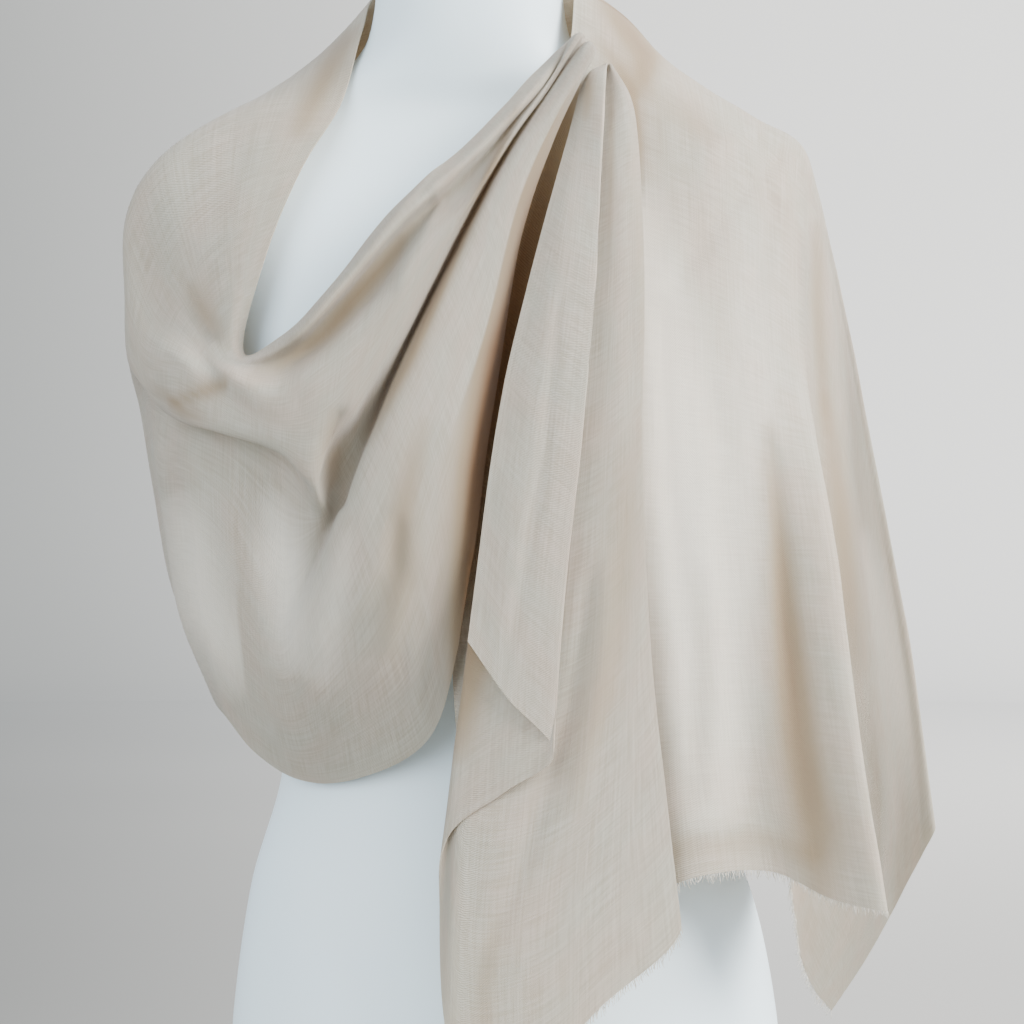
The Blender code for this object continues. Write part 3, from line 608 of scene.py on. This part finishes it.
def cloth_lengths(grid):
    """Mean distance along the cloth and across it for each point of the grid, in metres."""
    along = np.linalg.norm(np.diff(grid, axis=0), axis=2).mean(axis=1)
    across = np.linalg.norm(np.diff(grid, axis=1), axis=2).mean(axis=0)
    u = np.concatenate(([0.0], np.cumsum(along))) * MM
    v = np.concatenate(([0.0], np.cumsum(across))) * MM
    return np.meshgrid(u, v, indexing="ij")


# ---------------------------------------------------------------- meshes
def sheet_mesh(name, grid, thread_tone_and_painted_light, thickness):
    """A closed thin shell on a grid, with a map of the cloth's own lengths for its weave, and
    its painted light and shade as an attribute."""
    rows, columns = grid.shape[:2]
    normals = grid_normals(grid)
    count = rows * columns
    upper = (grid + normals * (0.5 * thickness)).reshape(-1, 3)
    lower = (grid - normals * (0.5 * thickness)).reshape(-1, 3)
    ids = np.arange(count).reshape(rows, columns)
    a, b = ids[:-1, :-1].ravel(), ids[1:, :-1].ravel()
    c, d = ids[1:, 1:].ravel(), ids[:-1, 1:].ravel()
    faces = [np.stack((a, b, c, d), axis=1), np.stack((d, c, b, a), axis=1) + count]
    rim = np.concatenate((ids[0, :], ids[1:, -1], ids[-1, -2::-1], ids[-2:0:-1, 0]))
    after = np.roll(rim, -1)
    faces.append(np.stack((rim, after, after + count, rim + count), axis=1))
    faces = np.concatenate(faces)
    points = np.concatenate((upper, lower)) * MM
    mesh = bpy.data.meshes.new(name)
    mesh.from_pydata(points.tolist(), [], faces.tolist())
    mesh.update()
    shape = bmesh.new()
    shape.from_mesh(mesh)
    if shape.calc_volume(signed=True) < 0.0:
        bmesh.ops.reverse_faces(shape, faces=shape.faces)
        shape.to_mesh(mesh)
    shape.free()
    u, v = cloth_lengths(grid)
    place = np.stack((u.ravel(), v.ravel()), axis=1)
    place = np.concatenate((place, place))
    layer = mesh.uv_layers.new(name="cloth")
    corners = np.zeros(len(mesh.loops), dtype=np.int32)
    mesh.loops.foreach_get("vertex_index", corners)
    layer.data.foreach_set("uv", place[corners].astype(np.float32).ravel())
    stored = mesh.attributes.new("thread_tone_and_painted_light", "FLOAT", "POINT")
    stored.data.foreach_set("value", np.concatenate((thread_tone_and_painted_light.ravel(), thread_tone_and_painted_light.ravel())))
    mesh.shade_smooth()
    mesh.set_sharp_from_angle(angle=math.radians(70.0))
    return mesh


def add_piece(name, mesh, material):
    """Put a finished mesh into the scene under its own name, with its material."""
    mesh.materials.clear()
    mesh.materials.append(material)
    piece = bpy.data.objects.new(name, mesh)
    bpy.context.scene.collection.objects.link(piece)
    return piece


# ---------------------------------------------------------------- materials
class Nodes:
    """Short helper that adds nodes and links to a material."""

    def __init__(self, name):
        self.material = bpy.data.materials.new(name)
        self.material.use_nodes = True
        self.tree = self.material.node_tree
        self.tree.nodes.clear()

    def add(self, kind, inputs=(), **settings):
        node = self.tree.nodes.new(kind)
        for key, value in settings.items():
            setattr(node, key, value)
        for key, value in dict(inputs).items():
            self.put(node.inputs[key], value)
        return node

    def put(self, socket, value):
        if isinstance(value, bpy.types.NodeSocket):
            self.tree.links.new(value, socket)
        else:
            socket.default_value = value

    def math(self, operation, first, second=0.0):
        node = self.add("ShaderNodeMath", operation=operation)
        self.put(node.inputs[0], first)
        self.put(node.inputs[1], second)
        return node.outputs[0]

    def mix(self, share, first, second, blend_type="MIX"):
        node = self.add("ShaderNodeMix", data_type="RGBA", blend_type=blend_type)
        self.put(node.inputs[0], share)
        self.put(node.inputs[6], first)
        self.put(node.inputs[7], second)
        return node.outputs[2]

    def ramp(self, value, low, high):
        node = self.add("ShaderNodeMapRange", interpolation_type="SMOOTHSTEP")
        self.put(node.inputs["Value"], value)
        self.put(node.inputs["From Min"], low)
        self.put(node.inputs["From Max"], high)
        return node.outputs["Result"]


def cloth_material(name, colours, pitch):
    """Fine soft twill with slubs, drawn in the cloth's own lengths, that lets some light through,
    with painted light and painted shade read from the mesh.
    """
    nodes = Nodes(name)
    place = nodes.add("ShaderNodeUVMap", uv_map="cloth").outputs["UV"]
    split = nodes.add("ShaderNodeSeparateXYZ")
    nodes.put(split.inputs[0], place)
    u, v = split.outputs[0], split.outputs[1]

    def threads(u_size, v_size, detail):
        spot = nodes.add("ShaderNodeCombineXYZ")
        nodes.put(spot.inputs[0], nodes.math("DIVIDE", u, u_size * MM))
        nodes.put(spot.inputs[1], nodes.math("DIVIDE", v, v_size * MM))
        found = nodes.add("ShaderNodeTexNoise", {"Scale": 1.0, "Detail": detail})
        nodes.put(found.inputs["Vector"], spot.outputs[0])
        return found.outputs["Fac"]

    warp = threads(30.0, 1.1, 3.0)
    weft = threads(0.9, 24.0, 3.0)
    cloud = threads(36.0, 30.0, 3.0)
    wander = threads(7.0, 7.0, 1.0)
    turned = nodes.math("ADD", nodes.math("MULTIPLY", u, 0.80), nodes.math("MULTIPLY", v, 0.60))
    turned = nodes.math("ADD", turned, nodes.math("MULTIPLY", wander, 1.6 * MM))
    rib = nodes.math("SINE", nodes.math("MULTIPLY", turned, 2.0 * math.pi / pitch))
    grain = nodes.math("ADD", nodes.math("MULTIPLY", warp, 0.5), nodes.math("MULTIPLY", weft, 0.5))
    thread_tone_and_painted_light = nodes.ramp(grain, 0.32, 0.68)
    thread_tone_and_painted_light = nodes.math("ADD", nodes.math("MULTIPLY", thread_tone_and_painted_light, 0.8), nodes.math("MULTIPLY", rib, 0.10))
    patch = nodes.ramp(cloud, 0.30, 0.72)
    base = nodes.mix(thread_tone_and_painted_light, (*colours.cloth, 1.0), (*colours.cloth_light, 1.0))
    rosy = nodes.mix(patch, (0.95, 0.98, 0.97, 1.0), (1.0, 0.94, 0.92, 1.0))
    colour = nodes.mix(1.0, base, rosy, "MULTIPLY")
    # Painted light and shade read from the mesh: paler above zero, deeper below zero.
    painted_light_level = nodes.add("ShaderNodeAttribute", attribute_name="thread_tone_and_painted_light").outputs["Fac"]
    uneven = nodes.math("ADD", nodes.math("MULTIPLY", grain, 0.7), 0.65)
    # Painted light: paler where the attribute is above zero, uneven with the grain.
    painted_light_share = nodes.math("MULTIPLY", nodes.math("MAXIMUM", painted_light_level, 0.0), uneven)
    # Painted shade: deeper where the attribute is below zero, deepest below minus one.
    deep = nodes.math("MINIMUM", nodes.math("MULTIPLY", nodes.math("MAXIMUM", nodes.math(
        "MULTIPLY", painted_light_level, -1.0), 0.0), uneven), 1.0)
    inner = nodes.ramp(nodes.math("MULTIPLY", painted_light_level, -1.0), 1.0, 2.0)
    colour = nodes.mix(painted_light_share, colour, (*colours.cloth_painted_light, 1.0))
    colour = nodes.mix(deep, colour, (*colours.cloth_painted_shade, 1.0))
    colour = nodes.mix(inner, colour, (*colours.cloth_painted_deep_shade, 1.0))
    height = nodes.math("ADD", nodes.math("MULTIPLY", rib, 0.35), nodes.math("MULTIPLY", grain, 1.6))
    bump = nodes.add("ShaderNodeBump", {"Strength": 0.7, "Distance": 0.30 * MM})
    nodes.put(bump.inputs["Height"], height)
    skin = nodes.add("ShaderNodeBsdfPrincipled", {
        "Base Color": colour, "Roughness": 0.62, "Specular IOR Level": 0.28,
        "Sheen Weight": 0.30, "Sheen Roughness": 0.45, "Normal": bump.outputs[0]})
    through = nodes.add("ShaderNodeBsdfTranslucent", {
        "Color": nodes.mix(0.65, colour, (*colours.cloth_warm, 1.0)),
        "Normal": bump.outputs[0]})
    both = nodes.add("ShaderNodeMixShader")
    nodes.put(both.inputs[0], 0.34)
    nodes.put(both.inputs[1], skin.outputs[0])
    nodes.put(both.inputs[2], through.outputs[0])
    out = nodes.add("ShaderNodeOutputMaterial")
    nodes.put(out.inputs["Surface"], both.outputs[0])
    return nodes.material


def fringe_material(name, colours):
    """Loose warp ends: a little paler than the cloth, uneven from end to end."""
    nodes = Nodes(name)
    place = nodes.add("ShaderNodeTexCoord").outputs["Object"]
    found = nodes.add("ShaderNodeTexNoise", {"Scale": 420.0, "Detail": 1.0})
    nodes.put(found.inputs["Vector"], place)
    colour = nodes.mix(nodes.ramp(found.outputs["Fac"], 0.3, 0.7), (*colours.cloth, 1.0),
                       (*colours.cloth_light, 1.0))
    skin = nodes.add("ShaderNodeBsdfPrincipled", {
        "Base Color": colour, "Roughness": 0.7, "Sheen Weight": 0.4, "Sheen Roughness": 0.5})
    out = nodes.add("ShaderNodeOutputMaterial")
    nodes.put(out.inputs["Surface"], skin.outputs[0])
    return nodes.material


def form_material(name, colours):
    """Smooth matt white shell with a barely uneven surface."""
    nodes = Nodes(name)
    place = nodes.add("ShaderNodeTexCoord").outputs["Object"]
    broad = nodes.add("ShaderNodeTexNoise", {"Scale": 9.0, "Detail": 2.0})
    fine = nodes.add("ShaderNodeTexNoise", {"Scale": 900.0, "Detail": 2.0})
    nodes.put(broad.inputs["Vector"], place)
    nodes.put(fine.inputs["Vector"], place)
    tint = nodes.mix(nodes.ramp(broad.outputs["Fac"], 0.3, 0.7), (0.97, 0.98, 1.0, 1.0),
                     (1.0, 1.0, 1.0, 1.0))
    colour = nodes.mix(1.0, (*colours.form, 1.0), tint, "MULTIPLY")
    rough = nodes.math("ADD", nodes.math("MULTIPLY", fine.outputs["Fac"], 0.10), 0.42)
    bump = nodes.add("ShaderNodeBump", {"Strength": 0.15, "Distance": 0.08 * MM})
    nodes.put(bump.inputs["Height"], fine.outputs["Fac"])
    skin = nodes.add("ShaderNodeBsdfPrincipled", {
        "Base Color": colour, "Roughness": rough, "Specular IOR Level": 0.4,
        "Normal": bump.outputs[0]})
    out = nodes.add("ShaderNodeOutputMaterial")
    nodes.put(out.inputs["Surface"], skin.outputs[0])
    return nodes.material


def backdrop_material(name, colours):
    """Pale paint for the floor and the backdrop, with painted shade towards its left and towards the
    camera.
    """
    nodes = Nodes(name)
    place = nodes.add("ShaderNodeTexCoord").outputs["Object"]
    split = nodes.add("ShaderNodeSeparateXYZ")
    nodes.put(split.inputs[0], place)
    reach = nodes.math("ABSOLUTE", nodes.math("ADD", split.outputs[1], 1.8), 0.0)
    across = nodes.math("DIVIDE", split.outputs[0], nodes.math("ADD", reach, 1.0))
    across = nodes.math("ADD", across, nodes.math("MULTIPLY", split.outputs[2], 0.012))
    found = nodes.add("ShaderNodeTexNoise", {"Scale": 0.8, "Detail": 1.0})
    nodes.put(found.inputs["Vector"], place)
    across = nodes.math("ADD", across, nodes.math("MULTIPLY", found.outputs["Fac"], 0.03))
    # Painted shade: the paint darkens towards the left of the view.
    tint = nodes.mix(nodes.ramp(across, -0.18, 0.12), (0.40, 0.41, 0.41, 1.0),
                     (1.0, 1.0, 1.0, 1.0))
    # Painted shade: the floor darkens towards the front, nearer the camera.
    painted_light_towards_back = nodes.ramp(split.outputs[1], 0.2, 6.4)
    tint = nodes.mix(1.0, tint, nodes.mix(painted_light_towards_back, (0.50, 0.50, 0.50, 1.0), (1.0, 1.0, 1.0, 1.0)),
                     "MULTIPLY")
    colour = nodes.mix(1.0, (*colours.backdrop, 1.0), tint, "MULTIPLY")
    skin = nodes.add("ShaderNodeBsdfPrincipled", {
        "Base Color": colour, "Roughness": 0.9, "Specular IOR Level": 0.1})
    out = nodes.add("ShaderNodeOutputMaterial")
    nodes.put(out.inputs["Surface"], skin.outputs[0])
    return nodes.material


# ---------------------------------------------------------------- fringe
def fringe_tree(name):
    """Geometry Nodes that set loose warp ends along an edge and turn each a little."""
    tree = bpy.data.node_groups.new(name, "GeometryNodeTree")
    face = tree.interface
    face.new_socket("Geometry", in_out="INPUT", socket_type="NodeSocketGeometry")
    face.new_socket("Strand", in_out="INPUT", socket_type="NodeSocketObject")
    for label in ("Spacing", "Lean", "Spread"):
        face.new_socket(label, in_out="INPUT", socket_type="NodeSocketFloat")
    face.new_socket("Seed", in_out="INPUT", socket_type="NodeSocketInt")
    face.new_socket("Material", in_out="INPUT", socket_type="NodeSocketMaterial")
    face.new_socket("Geometry", in_out="OUTPUT", socket_type="NodeSocketGeometry")
    link = tree.links.new
    entry = tree.nodes.new("NodeGroupInput")
    leave = tree.nodes.new("NodeGroupOutput")

    def node(kind, **settings):
        made = tree.nodes.new(kind)
        for key, value in settings.items():
            setattr(made, key, value)
        return made

    curve = node("GeometryNodeMeshToCurve")
    link(entry.outputs["Geometry"], curve.inputs["Mesh"])
    spread = node("GeometryNodeCurveToPoints", mode="LENGTH")
    link(curve.outputs["Curve"], spread.inputs["Curve"])
    link(entry.outputs["Spacing"], spread.inputs["Length"])
    hang = node("GeometryNodeInputNamedAttribute", data_type="FLOAT_VECTOR")
    hang.inputs["Name"].default_value = "hang"
    first = node("FunctionNodeAlignEulerToVector", axis="Z")
    link(hang.outputs["Attribute"], first.inputs["Vector"])
    turn = node("FunctionNodeRandomValue", data_type="FLOAT_VECTOR")
    low = node("ShaderNodeCombineXYZ")
    high = node("ShaderNodeCombineXYZ")
    minus = node("ShaderNodeMath", operation="MULTIPLY")
    minus.inputs[1].default_value = -1.0
    link(entry.outputs["Lean"], minus.inputs[0])
    for index in (0, 1):
        link(minus.outputs[0], low.inputs[index])
        link(entry.outputs["Lean"], high.inputs[index])
    low.inputs[2].default_value = -math.pi
    high.inputs[2].default_value = math.pi
    link(low.outputs[0], turn.inputs["Min"])
    link(high.outputs[0], turn.inputs["Max"])
    link(entry.outputs["Seed"], turn.inputs["Seed"])
    rotate = node("FunctionNodeRotateEuler")
    rotate.space = "LOCAL"
    link(first.outputs[0], rotate.inputs[0])
    link(turn.outputs["Value"], rotate.inputs[1])
    size = node("FunctionNodeRandomValue", data_type="FLOAT")
    less = node("ShaderNodeMath", operation="SUBTRACT")
    less.inputs[0].default_value = 1.0
    link(entry.outputs["Spread"], less.inputs[1])
    link(less.outputs[0], size.inputs[2])
    size.inputs[3].default_value = 1.0
    link(entry.outputs["Seed"], size.inputs["Seed"])
    scale = node("ShaderNodeCombineXYZ")
    scale.inputs[0].default_value = 1.0
    scale.inputs[1].default_value = 1.0
    link(size.outputs[1], scale.inputs[2])
    strand = node("GeometryNodeObjectInfo")
    link(entry.outputs["Strand"], strand.inputs["Object"])
    place = node("GeometryNodeInstanceOnPoints")
    link(spread.outputs["Points"], place.inputs["Points"])
    link(strand.outputs["Geometry"], place.inputs["Instance"])
    link(rotate.outputs[0], place.inputs["Rotation"])
    link(scale.outputs[0], place.inputs["Scale"])
    real = node("GeometryNodeRealizeInstances")
    link(place.outputs[0], real.inputs[0])
    paint = node("GeometryNodeSetMaterial")
    link(real.outputs[0], paint.inputs["Geometry"])
    link(entry.outputs["Material"], paint.inputs["Material"])
    link(paint.outputs[0], leave.inputs[0])
    return tree


def strand_mesh(name, length, width):
    """One loose end: a thin bent tube of four sides that tapers to its tip, along +Z."""
    shape = bmesh.new()
    rings = []
    levels = 5
    for level in range(levels):
        share = level / (levels - 1)
        bend = 0.16 * length * share * share
        radius = 0.5 * width * (1.0 - 0.6 * share)
        ring = [shape.verts.new((bend + radius * math.cos(angle), radius * math.sin(angle),
                                 length * share - 0.4 * MM))
                for angle in (0.0, 0.5 * math.pi, math.pi, 1.5 * math.pi)]
        rings.append(ring)
    for lower, upper in zip(rings, rings[1:]):
        for index in range(4):
            after = (index + 1) % 4
            shape.faces.new((lower[index], lower[after], upper[after], upper[index]))
    shape.faces.new(list(reversed(rings[0])))
    shape.faces.new(rings[-1])
    mesh = bpy.data.meshes.new(name)
    shape.to_mesh(mesh)
    shape.free()
    mesh.shade_smooth()
    return mesh


def edge_mesh(name, line, inner):
    """The line of a short edge as a row of edges, with the way the loose ends hang from it."""
    mesh = bpy.data.meshes.new(name)
    mesh.from_pydata((line * MM).tolist(), [(i, i + 1) for i in range(len(line) - 1)], [])
    hang = line - inner
    hang = hang / np.maximum(np.linalg.norm(hang, axis=1, keepdims=True), 1e-9)
    stored = mesh.attributes.new("hang", "FLOAT_VECTOR", "POINT")
    stored.data.foreach_set("vector", hang.astype(np.float32).ravel())
    return mesh


def fringe_piece(name, lines, sizes, material):
    """A joined mesh of loose ends along one or more lines of a short edge."""
    strand = bpy.data.objects.new(name + "_strand",
                                  strand_mesh(name + "_strand", sizes.fringe_length,
                                              sizes.fringe_width))
    tree = fringe_tree(name + "_nodes")
    shape = bmesh.new()
    for number, (line, inner) in enumerate(lines):
        carrier = bpy.data.objects.new(name + "_edge", edge_mesh(name + "_edge", line, inner))
        bpy.context.scene.collection.objects.link(carrier)
        modifier = carrier.modifiers.new("fringe", "NODES")
        modifier.node_group = tree
        values = {"Strand": strand, "Spacing": sizes.fringe_spacing, "Lean": FRINGE_LEAN,
                  "Spread": FRINGE_SPREAD, "Seed": sizes.fringe_seed + number,
                  "Material": material}
        for item in tree.interface.items_tree:
            if item.in_out == "INPUT" and item.name in values:
                modifier[item.identifier] = values[item.name]
        bpy.context.view_layer.update()
        graph = bpy.context.evaluated_depsgraph_get()
        made = bpy.data.meshes.new_from_object(carrier.evaluated_get(graph))
        shape.from_mesh(made)
        bpy.data.objects.remove(carrier, do_unlink=True)
        bpy.data.meshes.remove(made)
    bpy.data.objects.remove(strand, do_unlink=True)
    mesh = bpy.data.meshes.new(name)
    shape.to_mesh(mesh)
    shape.free()
    mesh.shade_smooth()
    return add_piece(name, mesh, material)


# ---------------------------------------------------------------- the pieces
def wrapped_grid(sizes):
    """The cloth from the shoulder end's hem to the gather, and the places of its stretches."""
    shoulder = [section[1:] for section in SHOULDER_SECTIONS]
    back = [back_section(*row[1:]) for row in BACK_SECTIONS]
    arm = [section[1:] for section in ARM_SECTIONS]
    front = [section[1:] for section in FRONT_SECTIONS]
    grid, along, across = loft(shoulder + back + arm + front, sizes.spacing / MM)
    row = np.concatenate(([0], np.cumsum(along)))
    column = np.concatenate(([0], np.cumsum(across)))
    fold = column[SHOULDER_COLUMNS.index("fold")]
    ridge = row[RIDGE_ROW]
    blade = row[len(shoulder) + len(back)]
    bend = row[len(shoulder) + len(back) + len(arm) - 1]
    regions = {
        "shoulder": ((0, ridge), (0, fold)),
        "side": ((0, ridge), (fold, column[-1])),
        "back": ((ridge, blade), (0, column[-1])),
        "arm": ((blade, bend), (0, column[-1])),
        "front": ((bend, row[-1]), (0, column[-1])),
        "front_inner": ((bend, row[-1]), (column[FACE_COLUMN] + 2, column[-1])),
    }
    return grid, regions


class SHAWL_OT_form(bpy.types.Operator):
    """Build the smooth shell of the dress form"""

    bl_idname = "shawl.form"
    bl_label = "Dress form"

    def execute(self, context):
        scene = context.scene
        segments = 144
        table = []
        power = 2.0 / RING_SQUARENESS
        for height, half, front, back, shift in FORM_RINGS:
            ring = []
            for index in range(segments):
                angle = 2.0 * math.pi * index / segments
                across, deep = math.cos(angle), math.sin(angle)
                depth = back if deep > 0.0 else front
                ring.append((shift + half * math.copysign(abs(across) ** power, across),
                             depth * math.copysign(abs(deep) ** power, deep), height))
            table.append(ring)
        rings = smooth_lines(table, span_steps(table, 8.0))
        shape = bmesh.new()
        made = [[shape.verts.new(point * MM) for point in ring] for ring in rings]
        for lower, upper in zip(made, made[1:]):
            for index in range(segments):
                after = (index + 1) % segments
                shape.faces.new((lower[index], lower[after], upper[after], upper[index]))
        shape.faces.new(list(reversed(made[0])))
        shape.faces.new(made[-1])
        mesh = bpy.data.meshes.new("dress_form_shell")
        shape.to_mesh(mesh)
        shape.free()
        mesh.shade_smooth()
        mesh.set_sharp_from_angle(angle=math.radians(50.0))
        piece = add_piece("dress_form_shell", mesh, form_material("form_shell",
                                                                  scene.shawl_colours))
        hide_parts("dress_form")
        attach(piece, "root")
        return {"FINISHED"}


class SHAWL_OT_wrapped_cloth(bpy.types.Operator):
    """Build the cloth from the shoulder end round the back and across the chest"""

    bl_idname = "shawl.wrapped_cloth"
    bl_label = "Wrapped cloth"

    def execute(self, context):
        scene = context.scene
        sizes = scene.shawl_sizes
        grid, regions = wrapped_grid(sizes)
        grid = soften(grid, 1)
        grid = add_creases(grid, WRAP_CREASES, regions)
        grid = ripple(grid, 0.9, 34.0, 1)
        grid = clear_of_form(grid, sizes.clearance / MM)
        material = cloth_material("pashmina_twill", scene.shawl_colours, sizes.twill_pitch)
        # Painted light where one layer lies over the form, painted shade in doubled layers and fold
        # bottoms.
        thread_tone_and_painted_light = painted_light_map(grid, WRAP_PAINTED_LIGHT, regions)
        mesh = sheet_mesh("shawl_wrapped", grid, thread_tone_and_painted_light, sizes.thickness / MM)
        piece = add_piece("shawl_wrapped", mesh, material)
        lines = [(grid[0], grid[2])]
        fringe = fringe_piece("fringe_shoulder", lines, sizes,
                              fringe_material("loose_warp", scene.shawl_colours))
        for item, nodes, slot in (
                (piece, ("shawl_shoulder_end", "shawl_back", "shawl_arm_wrap",
                         "shawl_front_wrap"), "pashmina_cloth"),
                (fringe, ("fringe_shoulder_front", "fringe_shoulder_side",
                          "fringe_shoulder_corner"), "pashmina_fringe")):
            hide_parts(*nodes)
            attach(item, "root")
        return {"FINISHED"}


class SHAWL_OT_hanging_end(bpy.types.Operator):
    """Build the end of the shawl that falls down the front in zigzag folds"""

    bl_idname = "shawl.hanging_end"
    bl_label = "Hanging end"

    def execute(self, context):
        scene = context.scene
        sizes = scene.shawl_sizes
        grid, along, across = loft(hanging_sections(), HANGING_SPACING * sizes.spacing / MM)
        column = np.concatenate(([0], np.cumsum(across)))
        place = {fold[0]: column[index] for index, fold in enumerate(HANGING_FOLDS)}
        last = grid.shape[0] - 1
        regions = {
            "face": ((0, last), (0, place["right_fold"])),
            "first_back": ((0, last), (place["front_fold"] + 2, place["ridge"] - 1)),
            "last_back": ((0, last), (place["right_fold"] + 2, column[-1])),
        }
        grid = soften(grid, 1)
        grid = add_creases(grid, HANGING_CREASES, regions)
        grid = ripple(grid, 0.5, 30.0, 2)
        material = bpy.data.materials["pashmina_twill"]
        # Painted light where one layer lies over the form, painted shade in doubled layers and fold
        # bottoms.
        thread_tone_and_painted_light = painted_light_map(grid, HANGING_PAINTED_LIGHT, regions)
        mesh = sheet_mesh("shawl_hanging", grid, thread_tone_and_painted_light, sizes.thickness / MM)
        piece = add_piece("shawl_hanging", mesh, material)
        start, stop = column[HEM_START], column[-1]
        lines = [(grid[-1, start:stop + 1], grid[-3, start:stop + 1])]
        fringe = fringe_piece("fringe_hanging", lines, sizes, bpy.data.materials["loose_warp"])
        for item, nodes, slot in ((piece, ("shawl_hanging_end",), "pashmina_cloth"),
                                  (fringe, ("fringe_hanging_end",), "pashmina_fringe")):
            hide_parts(*nodes)
            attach(item, "root")
        return {"FINISHED"}


class SHAWL_OT_stage(bpy.types.Operator):
    """Build the floor, the backdrop, the lights and the camera"""

    bl_idname = "shawl.stage"
    bl_label = "Stage"

    def execute(self, context):
        scene = context.scene
        material = backdrop_material("backdrop_paint", scene.shawl_colours)
        self.add_surface("floor", ((0.0, 0.0), (FLOOR_RADIUS, 0.0)), material)
        turn = [(FLOOR_RADIUS + COVE_RADIUS * math.sin(angle),
                 COVE_RADIUS - COVE_RADIUS * math.cos(angle))
                for angle in np.linspace(0.0, 0.5 * math.pi, 13)]
        wall_top = (FLOOR_RADIUS + COVE_RADIUS, BACKDROP_HEIGHT)
        cove = self.add_surface("backdrop", turn + [wall_top], material)
        cove.visible_diffuse = False
        cove.visible_glossy = False
        cove.visible_shadow = False
        cove.visible_transmission = False
        for lamp in LAMPS:
            self.add_light(*lamp)
        world = bpy.data.worlds.new("studio")
        world.use_nodes = True
        sky = world.node_tree.nodes["Background"]
        sky.inputs["Color"].default_value = SKY_COLOUR
        sky.inputs["Strength"].default_value = SKY_STRENGTH
        scene.world = world
        camera = bpy.data.objects.new("camera", bpy.data.cameras.new("camera"))
        camera.data.sensor_width = CAMERA_SENSOR
        camera.data.lens = CAMERA_LENS
        camera.location = CAMERA_PLACE
        camera.rotation_euler = (0.5 * math.pi, 0.0, 0.0)
        scene.collection.objects.link(camera)
        scene.camera = camera
        return {"FINISHED"}

    def add_surface(self, name, outline, material):
        """A surface turned round the middle of the stage from (radius, height) points."""
        segments = 64
        points, faces = [], []
        for radius, height in outline:
            for index in range(segments):
                angle = 2.0 * math.pi * index / segments
                points.append((radius * math.cos(angle), radius * math.sin(angle), height))
        for ring in range(len(outline) - 1):
            for index in range(segments):
                after = (index + 1) % segments
                base = ring * segments
                faces.append((base + index, base + segments + index,
                              base + segments + after, base + after))
        mesh = bpy.data.meshes.new(name)
        mesh.from_pydata(points, [], faces)
        mesh.shade_smooth()
        item = add_piece(name, mesh, material)
        return item

    def add_light(self, name, spot, aim, size, power, colour):
        """A soft square lamp that is not seen itself."""
        lamp = bpy.data.lights.new(name, "AREA")
        lamp.size = size
        lamp.energy = power
        lamp.color = colour
        item = bpy.data.objects.new(name, lamp)
        item.location = spot
        item.rotation_euler = (Vector(aim) - Vector(spot)).to_track_quat("-Z", "Y").to_euler()
        item.visible_camera = False
        bpy.context.scene.collection.objects.link(item)


class SHAWL_PT_panel(bpy.types.Panel):
    """The shawl's sizes, colours and pieces"""

    bl_idname = "SHAWL_PT_panel"
    bl_label = "Pashmina shawl"
    bl_space_type = "VIEW_3D"
    bl_region_type = "UI"
    bl_category = "Shawl"

    def draw(self, context):
        for group in (context.scene.shawl_sizes, context.scene.shawl_colours):
            for name in group.__annotations__:
                self.layout.prop(group, name)
        for step in STEPS:
            self.layout.operator(step.bl_idname)


STEPS = (SHAWL_OT_form, SHAWL_OT_wrapped_cloth, SHAWL_OT_hanging_end, SHAWL_OT_stage)
CLASSES = (ShawlSizes, ShawlColours) + STEPS + (SHAWL_PT_panel,)


def register():
    for item in CLASSES:
        bpy.utils.register_class(item)
    bpy.types.Scene.shawl_sizes = PointerProperty(type=ShawlSizes)
    bpy.types.Scene.shawl_colours = PointerProperty(type=ShawlColours)


def unregister():
    del bpy.types.Scene.shawl_colours
    del bpy.types.Scene.shawl_sizes
    for item in reversed(CLASSES):
        bpy.utils.unregister_class(item)


def main():
    register()
    bpy.ops.shawl.form()
    bpy.ops.shawl.wrapped_cloth()
    bpy.ops.shawl.hanging_end()
    bpy.ops.shawl.stage()


if __name__ == "__main__":
    main()
